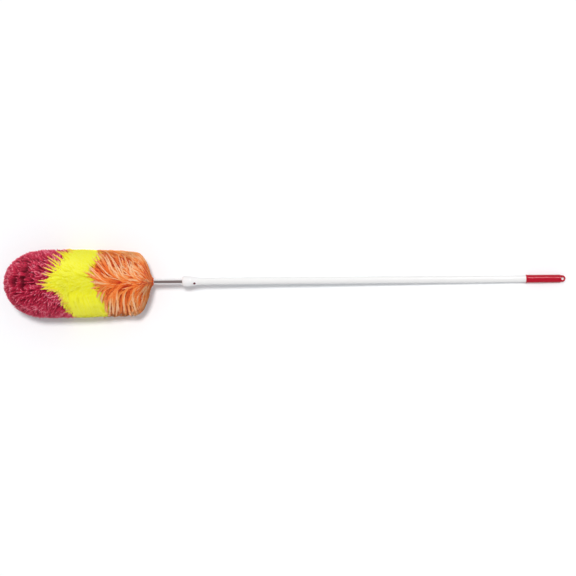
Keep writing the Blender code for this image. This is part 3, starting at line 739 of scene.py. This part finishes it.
def lie_of(fur, start, distance, turn, travelled):
    """The angle a lock lies at. Strands leave the neck straight and turn by and by."""
    if fur.bends:
        share = min(1.0, travelled / fur.bends_over)
        return math.radians(between(start, fur.bends)) * share * share * (3.0 - 2.0 * share)
    return math.radians(between(in_degrees(turn), fur.combing)) * min(1.0, distance / FACE_REACH)


def lock_path(distance, turn, fur, chance):
    """The stations of one lock from root to end: the place, the turn and the lock's share.

    With them come the distance along the pile where the lock ends, and its tone.
    """
    start = distance
    spot = on_pile(distance)
    drift = noise.noise_vector(at(spot.x, spot.y, turn) * DRIFT_SCALE)
    root = on_core(distance)
    depth = (spot - root).length
    crest = spot.lerp(root, min(fur.sunk / max(depth, fur.sunk), DEEPEST_CREST))
    stray = fur.strays * drift.x + chance.gauss(0.0, fur.frizz)
    gap = parting(spot, turn)
    overlap = chance.gauss(0.0, FRONT_OVERLAP)
    reach = between(in_degrees(turn), fur.reaches) if fur.reaches else fur.reach
    reach *= chance.uniform(fur.shortest, LONGEST_LOCK)
    if gap is not None:
        reach *= PARTING_REACH + (1.0 - PARTING_REACH) * abs(gap)
    high = fur.proud + fur.rough * (drift.z + chance.uniform(-1.0, 1.0))
    bend = root.lerp(crest, BEND_HEIGHT)
    stations = [(root, turn, 0.0), (bend, turn, BEND_SHARE), (crest, turn, CREST_SHARE)]
    for step in range(fur.lying):
        share = (step + 1) / fur.lying
        radius = max(on_pile(distance).y, NECK_RADIUS)
        lie = stray + lie_of(fur, start, distance, turn, reach * share)
        if gap is not None:
            lie = math.pi if gap > 0.0 else 0.0
        pace = reach / fur.lying
        if fur.stays_behind and distance > front(turn, fur.stays_behind) + overlap:
            pace *= HELD_PACE
        distance += pace * math.cos(lie)
        turn += pace * math.sin(lie) / radius
        if distance > PILE_REACH:
            distance, turn = 2.0 * PILE_REACH - distance, turn + math.pi
        buried = 1.0 - share
        if fur.lying > SHORT_STEPS:
            buried = max(0.0, 1.0 - reach * share / SURFACING)
        lift = high - fur.sunk * buried ** 2 * START_SUNK
        place = on_pile(distance) + out_of_pile(distance) * lift
        stations.append((place, turn, CREST_SHARE + (1.0 - CREST_SHARE) * share))
    mottle = DRIFT_MOTTLE * drift.z + LOCK_MOTTLE * chance.uniform(-1.0, 1.0)
    tone = fur.tone + fur.mottle * mottle
    # Painted shade: locks close to a parting are made deeper in tone
    if gap is not None:
        tone -= PAINTED_PARTING_SHADE * (1.0 - abs(gap))
    return stations, distance, tone


# The vectors on each point of a lock, and how wide the lock is at shares of its way
LAYERS = ("side", "over", "onward", "out")
WIDTHS = ((0.0, 0.30), (0.25, 0.55), (0.5, 1.0), (0.75, 0.9), (1.0, 0.38))


def lock(distance, turn, fur, chance):
    """The points of one lock, each with its share of the way and its vectors, and its tone."""
    stations, last, tone = lock_path(distance, turn, fur, chance)
    points = [settled(place.x, place.y, angle) for place, angle, _ in stations]
    rows = []
    for number, (_, angle, share) in enumerate(stations):
        before = points[max(number - 1, 0)]
        after = points[min(number + 1, len(points) - 1)]
        heading = (after - before).normalized()
        normal = out_of_pile(distance if share <= CREST_SHARE else last)
        out = at(normal.x, normal.y, angle)
        side = heading.cross(out)
        if side.length < STEEPEST_SIDE:
            side = heading.cross(at(0.0, 1.0, angle + math.pi / 2))
        side.normalize()
        over = side.cross(heading)
        width = between(share, WIDTHS)
        rows.append({
            "place": points[number],
            "share": share,
            "side": side * fur.width * width,
            "over": over * fur.thickness * width,
            "onward": heading * fur.ragged * (share if share > CREST_SHARE else 0.0),
            "out": out,
        })
    return rows, tone


def locks(fur, first, last, wanted, chance):
    """The locks of one kind between two distances along the pile."""
    found = []
    rings = max(1, round((last - first) / fur.spacing))
    for ring in range(rings):
        middle = first + (last - first) * (ring + 0.5) / rings
        radius = max(on_pile(middle).y, fur.spacing / 2)
        count = max(FEWEST_IN_RING, round(math.tau * radius / fur.spacing))
        for number in range(count):
            turn = math.tau * (number + chance.random()) / count - math.pi
            distance = middle + chance.uniform(-0.5, 0.5) * fur.spacing
            gap = parting(on_pile(distance), turn)
            if gap is not None and abs(gap) < PARTING_WIDTH / PARTING_LEAN:
                continue
            if wanted(distance, turn, chance):
                found.append(lock(distance, turn, fur, chance))
    return found


def fountain(fur, first, last, turn, chance):
    """Strands that leave one line along the pile, one after another."""
    count = round((last - first) / fur.spacing)
    found = []
    for number in range(count):
        distance = first + (last - first) * (number + chance.uniform(*STRAND_ROOM)) / count
        leaves_at = math.radians(turn + chance.gauss(0.0, FOUNTAIN_SPREAD))
        found.append(lock(distance, leaves_at, fur, chance))
    return found


def lock_mesh(name, found):
    """A chain of edges for each lock, with its vectors, shares and tone on its points."""
    rows = [row for lock_rows, _ in found for row in lock_rows]
    tones = [tone for lock_rows, tone in found for _ in lock_rows]
    edges = []
    first = 0
    for lock_rows, _ in found:
        edges += [(first + step, first + step + 1) for step in range(len(lock_rows) - 1)]
        first += len(lock_rows)
    mesh = bpy.data.meshes.new(name)
    mesh.from_pydata([POLE @ row["place"] for row in rows], edges, [])
    turned = POLE.to_3x3()
    for label in LAYERS:
        layer = mesh.attributes.new(label, "FLOAT_VECTOR", "POINT")
        layer.data.foreach_set("vector", [c for row in rows for c in turned @ row[label]])
    for label, values in (("share", [row["share"] for row in rows]), ("tone", tones)):
        layer = mesh.attributes.new(label, "FLOAT", "POINT")
        layer.data.foreach_set("value", values)
    return placed(name, mesh)


def named(wiring, name, kind="FLOAT_VECTOR"):
    node = wiring.node("GeometryNodeInputNamedAttribute", {"Name": name}, data_type=kind)
    return node.outputs["Attribute"]


def stored(wiring, geometry, name, value, kind="FLOAT_VECTOR", domain="POINT"):
    inputs = {"Geometry": geometry, "Name": name, "Value": value}
    node = wiring.node("GeometryNodeStoreNamedAttribute", inputs, data_type=kind, domain=domain)
    return node.outputs["Geometry"]


def fibre_tree():
    """Splits each lock into fibres that lie side by side, and gives them their bodies."""
    tree = bpy.data.node_groups.new("grow_fibres", "GeometryNodeTree")
    face = tree.interface
    face.new_socket("Geometry", in_out="INPUT", socket_type="NodeSocketGeometry")
    sizes = {
        "Fibres in a lock": LOCK_FIBRES,
        "Fibre radius": FIBRE_RADIUS,
        "Radius lost at the end": END_TAPER,
        "Crown": LOCK_CROWN,
        "Waves in a metre": WAVES,
        "Waviness": WAVINESS,
        "Tone spread": TONE_SPREAD,
        "Outward shading": OUTWARD_SHADING,
        "Floor height": FLOOR_CLEARANCE,
        "Seed": FIBRE_SEED,
    }
    kinds = {int: "NodeSocketInt", float: "NodeSocketFloat"}
    for label, value in sizes.items():
        socket = face.new_socket(label, in_out="INPUT", socket_type=kinds[type(value)])
        socket.default_value = value
    face.new_socket("Finish", in_out="INPUT", socket_type="NodeSocketMaterial")
    face.new_socket("Geometry", in_out="OUTPUT", socket_type="NodeSocketGeometry")
    wiring = Wiring(tree)
    given = wiring.node("NodeGroupInput").outputs

    # The chain of a lock is copied for its fibres, each with its lot: how far it lies
    # across the lock, how high, and how far its end stands out
    chains = wiring.node("GeometryNodeMeshToCurve", {"Mesh": given["Geometry"]})
    copies = wiring.node(
        "GeometryNodeDuplicateElements",
        {"Geometry": chains.outputs["Curve"], "Amount": given["Fibres in a lock"]},
        domain="SPLINE",
    )
    slot = wiring.maths("ADD", copies.outputs["Duplicate Index"], 0.5)
    slot = wiring.maths("DIVIDE", slot, given["Fibres in a lock"])
    slot = wiring.maths("MULTIPLY_ADD", slot, 2.0, -1.0)
    chance = wiring.node(
        "FunctionNodeRandomValue",
        {"Min": (-1.0, -1.0, -1.0), "Max": (1.0, 1.0, 1.0), "Seed": given["Seed"]},
        data_type="FLOAT_VECTOR",
    )
    jitter, height, end = wiring.split(chance.outputs["Value"])
    across = wiring.maths("MULTIPLY_ADD", jitter, SIDE_JITTER, slot)
    lot = wiring.joined(across, height, end)
    fibres = stored(wiring, copies.outputs["Geometry"], "lot", lot, domain="CURVE")
    across, height, end = wiring.split(named(wiring, "lot"))
    crowned = wiring.maths("MULTIPLY", wiring.maths("MULTIPLY", across, across), given["Crown"])
    level = wiring.maths("SUBTRACT", height, crowned)

    # The copies move apart, get their waves, and stay above the floor
    place = wiring.node("GeometryNodeInputPosition").outputs["Position"]
    for label, factor in (("side", across), ("over", level), ("onward", end)):
        place = wiring.vector("ADD", place, wiring.scaled(named(wiring, label), factor))
    seat = wiring.scaled(named(wiring, "lot"), WAVE_OFFSET)
    seat = wiring.vector("ADD", wiring.scaled(place, given["Waves in a metre"]), seat)
    waves = wiring.node("ShaderNodeTexNoise", {"Vector": seat})
    wave = wiring.vector("SUBTRACT", waves.outputs["Color"], (0.5, 0.5, 0.5))
    share = named(wiring, "share", "FLOAT")
    swing = wiring.maths("MULTIPLY", share, given["Waviness"])
    x, y, z = wiring.split(wiring.vector("ADD", place, wiring.scaled(wave, swing)))
    z = wiring.maths("SMOOTH_MAX", z, given["Floor height"], FLOOR_EASING)
    inputs = {"Geometry": fibres, "Position": wiring.joined(x, y, z)}
    laid = wiring.node("GeometryNodeSetPosition", inputs)

    # Bodies, thinner towards the end
    lost = wiring.maths("POWER", share, TAPER_POWER)
    lost = wiring.maths("MULTIPLY", lost, given["Radius lost at the end"])
    radius = wiring.maths("MULTIPLY", wiring.maths("SUBTRACT", 1.0, lost), given["Fibre radius"])
    inputs = {"Resolution": FIBRE_SIDES, "Radius": 1.0}
    ring = wiring.node("GeometryNodeCurvePrimitiveCircle", inputs)
    on_ring = wiring.node("GeometryNodeInputPosition").outputs["Position"]
    body = wiring.node("GeometryNodeCurveToMesh", {
        "Curve": laid.outputs["Geometry"],
        "Profile Curve": stored(wiring, ring.outputs["Curve"], "ring", on_ring),
        "Scale": radius,
        "Fill Caps": True,
    })

    # The map, with a little width and height for the fibre's own round
    ring_x, ring_y, _ = wiring.split(named(wiring, "ring"))
    tone = named(wiring, "tone", "FLOAT")
    # Fibres that lie further out in a lock are paler and those further in deeper: painted shade under
    # the fibres above
    tone = wiring.maths("MULTIPLY_ADD", height, given["Tone spread"], tone)
    tone = wiring.maths("MULTIPLY_ADD", tone, TONES_ON_MAP, (1.0 - TONES_ON_MAP) / 2)
    tone = wiring.maths("MULTIPLY_ADD", ring_x, MAP_WIDTH, tone)
    way = wiring.maths("MULTIPLY_ADD", share, MAP_END - MAP_START, MAP_START)
    way = wiring.maths("MULTIPLY_ADD", ring_y, MAP_WIDTH, way)
    lie = wiring.joined(tone, way)
    mapped = stored(wiring, body.outputs["Mesh"], FIBRE_MAP, lie, "FLOAT2", "CORNER")

    # Normals turned out of the pile, so that it takes the light as one soft body
    smooth = wiring.node("GeometryNodeSetShadeSmooth", {"Geometry": mapped})
    own = wiring.node("GeometryNodeInputNormal").outputs["Normal"]
    shaded = wiring.mixed(given["Outward shading"], own, named(wiring, "out"), kind="VECTOR")
    normals = wiring.node(
        "GeometryNodeSetMeshNormal",
        {"Mesh": smooth.outputs["Geometry"], "Custom Normal": wiring.vector("NORMALIZE", shaded)},
        mode="FREE",
        domain="POINT",
    )
    fibres = normals.outputs["Mesh"]
    for label in (*LAYERS, "lot", "ring", "share", "tone"):
        inputs = {"Geometry": fibres, "Name": label}
        fibres = wiring.node("GeometryNodeRemoveAttribute", inputs).outputs["Geometry"]
    whole = wiring.node("GeometryNodeRealizeInstances", {"Geometry": fibres})
    inputs = {"Geometry": whole.outputs["Geometry"], "Material": given["Finish"]}
    finished = wiring.node("GeometryNodeSetMaterial", inputs)
    wiring.node("NodeGroupOutput", {"Geometry": finished.outputs["Geometry"]})
    return tree


def grown(name, found, tree, settings):
    """The plain mesh of all the fibres on these locks."""
    start = lock_mesh(f"{name}_locks", found)
    modifier = start.modifiers.new("fibres", "NODES")
    modifier.node_group = tree
    sockets = {s.name: s.identifier for s in tree.interface.items_tree if s.in_out == "INPUT"}
    for label, value in settings.items():
        modifier[sockets[label]] = value
    graph = bpy.context.evaluated_depsgraph_get()
    mesh = bpy.data.meshes.new_from_object(start.evaluated_get(graph), depsgraph=graph)
    mesh.name = name
    bpy.data.objects.remove(start, do_unlink=True)
    piece = placed(name, mesh)
    FIBRE_HEAD.objects.link(piece)
    return piece


STANDING = Fur(
    filament="crimson", combing=CRIMSON_COMBING, spacing=0.0046, reach=0.0085, lying=2,
    sunk=0.0110, width=0.0016, thickness=0.0014, ragged=0.0020, fibres=7, strays=1.2,
    frizz=0.45, mottle=0.26,
)
DENSE = Fur(
    filament="yellow", combing=YELLOW_COMBING, spacing=0.0050, reach=0.0150, lying=2,
    sunk=0.0040, rough=0.0003, width=0.0030, thickness=0.0006, ragged=0.0012, shading=0.92,
    tone=0.72, mottle=0.07,
)
TUFT = Fur(
    filament="tipped", combing=TUFT_COMBING, spacing=0.0080, reaches=TUFT_REACH, lying=3,
    sunk=0.0030, proud=0.0014, width=0.0020, thickness=0.0012, ragged=0.0020, fibres=12,
    shortest=0.6, frizz=0.16, shading=0.8, tone=0.6,
)
# The underfur's low tone is painted shade in the gaps between the strands that lie over it
UNDERFUR = Fur(
    filament="orange", combing=ORANGE_COMBING, stays_behind=ORANGE_FRONT, spacing=0.0058,
    reach=0.0180, lying=2, sunk=0.0070, proud=-0.0036, width=0.0028, thickness=0.0016,
    ragged=0.0025, frizz=0.2, shading=0.75, tone=0.10,
)
STRANDS = Fur(
    filament="orange", combing=ORANGE_COMBING, stays_behind=ORANGE_FRONT, spacing=0.0109,
    reach=0.0400, lying=5, sunk=0.0050, proud=0.0004, width=0.0020, thickness=0.0010,
    ragged=0.0050, fibres=11, shortest=0.5, waviness=0.006, shading=0.85, tone=0.70,
)
LONG_ORANGE = {
    "filament": "orange", "stays_behind": ORANGE_FRONT, "sunk": 0.0040, "ragged": 0.0060,
    "shading": 0.85,
}
LOWER_STRANDS = Fur(
    **LONG_ORANGE, bends=LOWER_BENDS, bends_over=0.052, spacing=0.0024, reach=0.0900,
    lying=12, proud=0.0002, rough=0.0014, width=0.0012, thickness=0.0009, fibres=8,
    shortest=0.45, strays=0.22, waviness=0.006, tone=0.46, mottle=0.24,
)
# The pale strands' high tone is a painted highlight on these top strands
PALE_STRANDS = Fur(
    **LONG_ORANGE, bends=LOWER_BENDS, bends_over=0.052, spacing=0.0072, reach=0.0980,
    lying=14, proud=0.0010, rough=0.0010, width=0.0023, thickness=0.0012, fibres=18,
    strays=0.14, frizz=0.06, waviness=0.007, tone=0.90, mottle=0.12,
)
UPPER_STRANDS = Fur(
    **LONG_ORANGE, bends=UPPER_BENDS, bends_over=0.042, spacing=0.0018, reach=0.0850,
    lying=10, proud=0.0002, rough=0.0016, width=0.0013, thickness=0.0010, fibres=8,
    shortest=0.35, strays=0.30, frizz=0.14, waviness=0.007, tone=0.66, mottle=0.28,
)
CENTRE_STRANDS = Fur(
    **LONG_ORANGE, bends=CENTRE_BENDS, bends_over=0.050, spacing=0.0030, reach=0.0500,
    lying=6, proud=0.0004, rough=0.0014, width=0.0015, thickness=0.0009, fibres=8,
    shortest=0.4, strays=0.45, frizz=0.22, waviness=0.006, mottle=0.26,
)
NECK_STRANDS = Fur(
    filament="orange", combing=ORANGE_COMBING, spacing=0.0052, reach=0.0440, lying=4,
    sunk=0.0040, proud=0.0008, width=0.0010, thickness=0.0008, ragged=0.0030, fibres=6,
    shortest=0.5, strays=0.2, shading=0.8, tone=0.46, mottle=0.40,
)
YELLOW_STRANDS = Fur(
    filament="yellow", bends=YELLOW_BENDS, bends_over=0.030, spacing=0.0020, reach=0.0900,
    lying=9, sunk=0.0030, proud=0.0004, rough=0.0008, width=0.0015, thickness=0.0008,
    ragged=0.0060, shortest=0.5, strays=0.10, frizz=0.05, waviness=0.005, shading=0.85,
    tone=0.78,
)

# The pieces of the head: the kind of lock, the test that a lock's place has to pass or the
# turn in degrees of the line that its strands leave, the distances along the pile that the
# locks stand between, and the node that the piece stands for
IN_CRIMSON = of_zone("crimson")
IN_YELLOW = of_zone("yellow")
IN_ORANGE = of_zone("orange")
TIP_TUFT_FROM = SIDE_REACH + (PILE_REACH - SIDE_REACH) * 0.42
DOME_FROM = SIDE_REACH + 0.010
RUFF_MIDDLE = SIDE_REACH - 0.024
YELLOW_MIDDLE = distance_at(0.180)
TOP_STRANDS_TO = distance_at(0.222)
ORANGE_TO = distance_at(0.196)
ORANGE_MIDDLE = distance_at(0.262)
ORANGE_NECK_TO = FACE_REACH * 0.72
HEAD_PIECES = (
    ("tip_tuft_pile", STANDING, IN_CRIMSON, TIP_TUFT_FROM, PILE_REACH, "tip_tuft"),
    ("dome_pile", STANDING, IN_CRIMSON, DOME_FROM, TIP_TUFT_FROM, "tip_fibres"),
    ("ruff_front_pile", STANDING, IN_CRIMSON, RUFF_MIDDLE, DOME_FROM, "tip_fibres"),
    ("ruff_back_pile", STANDING, IN_CRIMSON, distance_at(0.174), RUFF_MIDDLE, "tip_fibres"),
    ("yellow_front_pile", DENSE, IN_YELLOW, YELLOW_MIDDLE, SIDE_REACH, "middle_fibres"),
    ("yellow_back_pile", DENSE, IN_YELLOW, distance_at(0.246), YELLOW_MIDDLE, "middle_fibres"),
    ("yellow_tuft_locks", TUFT, in_tuft, distance_at(0.172), SIDE_REACH + 0.02, "middle_fibres"),
    ("orange_front_pile", UNDERFUR, IN_ORANGE, ORANGE_MIDDLE, ORANGE_TO, "base_fibres"),
    ("orange_back_pile", UNDERFUR, IN_ORANGE, ORANGE_NECK_TO, ORANGE_MIDDLE, "base_fibres"),
    ("orange_neck_pile", UNDERFUR, IN_ORANGE, 0.0, ORANGE_NECK_TO, "base_fibres"),
    ("orange_strands", STRANDS, orange_below, 0.020, ORANGE_TO, "base_fibres"),
    ("lower_strands", LOWER_STRANDS, -7, FACE_REACH * 0.6, distance_at(0.248), "base_fibres"),
    ("pale_strands", PALE_STRANDS, -9, FACE_REACH * 0.7, distance_at(0.252), "base_fibres"),
    ("upper_strands", UPPER_STRANDS, 6, FACE_REACH * 0.6, TOP_STRANDS_TO, "base_fibres"),
    ("centre_strands", CENTRE_STRANDS, 0, FACE_REACH * 0.7, TOP_STRANDS_TO, "base_fibres"),
    ("yellow_strands", YELLOW_STRANDS, -12, distance_at(0.226), distance_at(0.160), "middle_fibres"),
    ("orange_neck_strands", NECK_STRANDS, IN_ORANGE, 0.001, FACE_REACH * 0.8, "base_fibres"),
)


def fibre_pieces():
    """Grows the pieces of the head, each with its own fixed draws."""
    noise.seed_set(DRIFT_SEED)
    finishes = {filament: fibre_finish(filament) for filament in FILAMENTS}
    tree = fibre_tree()
    for number, (name, fur, where, first, last, node) in enumerate(HEAD_PIECES):
        chance = random.Random(FIBRE_SEED + number)
        grow = locks if callable(where) else fountain
        found = grow(fur, first, last, where, chance)
        settings = {
            "Fibres in a lock": fur.fibres,
            "Outward shading": fur.shading,
            "Waviness": fur.waviness,
            "Seed": FIBRE_SEED + SEED_STEP * number,
            "Finish": finishes[fur.filament],
        }
        dress(grown(name, found, tree, settings), node, "inner_pole")


def pole_pieces():
    """Finer copies of the hard pieces that show, and a finish for each that stays."""
    paint = white_paint()
    white = moulded_plastic(
        "white_collar_plastic", (0.92, 0.893, 0.878), (0.89, 0.865, 0.850), roughness=0.36
    )
    nylon = moulded_plastic(
        "natural_nylon", (0.80, 0.79, 0.72), (0.76, 0.75, 0.68), roughness=0.50
    )
    red = moulded_plastic(
        "red_grip_plastic", (0.51, 0.0080, 0.028), (0.45, 0.0065, 0.022), roughness=0.34,
        coat=0.22, specular=0.05,
    )
    pin = moulded_plastic(
        "maroon_pin_plastic", (0.11, 0.010, 0.022), (0.09, 0.008, 0.018), roughness=0.42,
        specular=0.15,
    )
    steel = bright_steel()
    wire = wire_steel()
    for node, name, body, finish, slot in (
        ("outer_tube", "painted_tube", "outer_pole", paint, "white_paint"),
        ("hand_grip", "hang_grip", "outer_pole", red, "red_plastic"),
        ("collar_body", "collar_tail", "outer_pole", white, "white_plastic"),
        ("lock_nut", "twist_nut", "nut", white, "white_plastic"),
        ("inner_tube", "bright_tube", "inner_pole", steel, "bright_steel"),
    ):
        dress(replica(node, name, finish), node, body)
    head = pin_with_head("collar_pin", "collar_locating_pin", pin)
    dress(head, "collar_pin", "outer_pole")
    for node in ("clamp_ring", "tail_guide", "tail_plug", "head_plug"):
        frame["nodes"][node].data.materials[0] = nylon
    frame["nodes"]["core_wire"].data.materials[0] = wire


# Floor, lights and camera
def pale_floor():
    """A white floor: part of its white shows only to the camera and in reflections."""
    bpy.ops.mesh.primitive_plane_add(size=FLOOR_SIDE)
    floor = bpy.context.object
    floor.name = "pale_floor"
    material = bpy.data.materials.new("white_paper")
    wiring = blank_wiring(material)
    white = (PAPER_WHITE, PAPER_WHITE, PAPER_WHITE, 1.0)
    paper = wiring.node("ShaderNodeBsdfDiffuse", {"Color": white})
    seen = wiring.seen_by("Is Camera Ray", "Is Glossy Ray", "Is Transmission Ray")
    strength = wiring.maths("MULTIPLY", seen, PAPER_GLOW)
    glow = wiring.node("ShaderNodeEmission", {"Strength": strength})
    inputs = {0: paper.outputs["BSDF"], 1: glow.outputs["Emission"]}
    both = wiring.node("ShaderNodeAddShader", inputs)
    wiring.node("ShaderNodeOutputMaterial", {"Surface": both.outputs["Shader"]})
    floor.data.materials.append(material)


def studio_light():
    """A sky that lights the duster softly but shows white, a key light and two fills."""
    world = bpy.data.worlds.new("soft_studio")
    bpy.context.scene.world = world
    wiring = blank_wiring(world)
    seen = wiring.seen_by("Is Camera Ray", "Is Transmission Ray")
    sky = wiring.node("ShaderNodeBackground", {
        "Color": wiring.mixed(seen, (*SKY_COLOUR, 1.0), (1.0, 1.0, 1.0, 1.0)),
        "Strength": wiring.maths("MULTIPLY_ADD", seen, 1.0 - SKY_STRENGTH, SKY_STRENGTH),
    })
    wiring.node("ShaderNodeOutputWorld", {"Surface": sky.outputs["Background"]})

    for name, direction, strength, softness, lit in (
        ("key_light", KEY_DIRECTION, KEY_STRENGTH, KEY_SOFTNESS, None),
        ("low_fill_light", LOW_FILL_DIRECTION, LOW_FILL_STRENGTH, FILL_SOFTNESS, FIBRE_HEAD),
        ("high_fill_light", HIGH_FILL_DIRECTION, HIGH_FILL_STRENGTH, FILL_SOFTNESS, FIBRE_HEAD),
    ):
        lamp = bpy.data.lights.new(name, "SUN")
        lamp.energy = strength
        lamp.angle = softness
        light = placed(name, lamp)
        light.rotation_mode = "QUATERNION"
        light.rotation_quaternion = Vector(direction).to_track_quat("Z", "Y")
        light.visible_glossy = False
        light.light_linking.receiver_collection = lit


def reflected_card(name, near, far, colour):
    """A level card over the duster, from one corner to another, that only reflections see."""
    mesh = bpy.data.meshes.new(name)
    corners = [near, (near[0], far[1], far[2]), far, (far[0], near[1], near[2])]
    mesh.from_pydata(corners, [], [(0, 1, 2, 3)])
    material = bpy.data.materials.new(name)
    wiring = blank_wiring(material)
    glow = wiring.node("ShaderNodeEmission", {"Color": (*colour, 1.0)})
    wiring.node("ShaderNodeOutputMaterial", {"Surface": glow.outputs["Emission"]})
    mesh.materials.append(material)
    card = placed(name, mesh)
    for rays in ("camera", "diffuse", "transmission", "volume_scatter", "shadow"):
        setattr(card, f"visible_{rays}", False)


def overhead_camera():
    """Looks straight down, with the duster where the photograph has it."""
    low, high = CAD_BOX
    data = bpy.data.cameras.new("overhead_camera")
    data.angle = VIEW_ANGLE
    data.clip_end = FLOOR_SIDE
    camera = placed("overhead_camera", data)
    view_side = PICTURE_SIDE * METRES_PER_PIXEL
    height = view_side / 2 / math.tan(VIEW_ANGLE / 2)
    offset = Vector((PICTURE_SIDE / 2 - PICTURE_CENTRE[0], PICTURE_CENTRE[1] - PICTURE_SIDE / 2))
    offset.rotate(Matrix.Rotation(-PICTURE_TILT, 2))
    middle = (low + high) / 2
    camera.location = (
        middle.x + offset.x * METRES_PER_PIXEL,
        middle.y + offset.y * METRES_PER_PIXEL,
        height,
    )
    camera.rotation_euler = (0.0, 0.0, -PICTURE_TILT)
    bpy.context.scene.camera = camera


bpy.context.scene.view_settings.view_transform = "Standard"
overhead_camera()
pale_floor()
studio_light()
for card in CARDS:
    reflected_card(*card)
pole_pieces()
fibre_pieces()
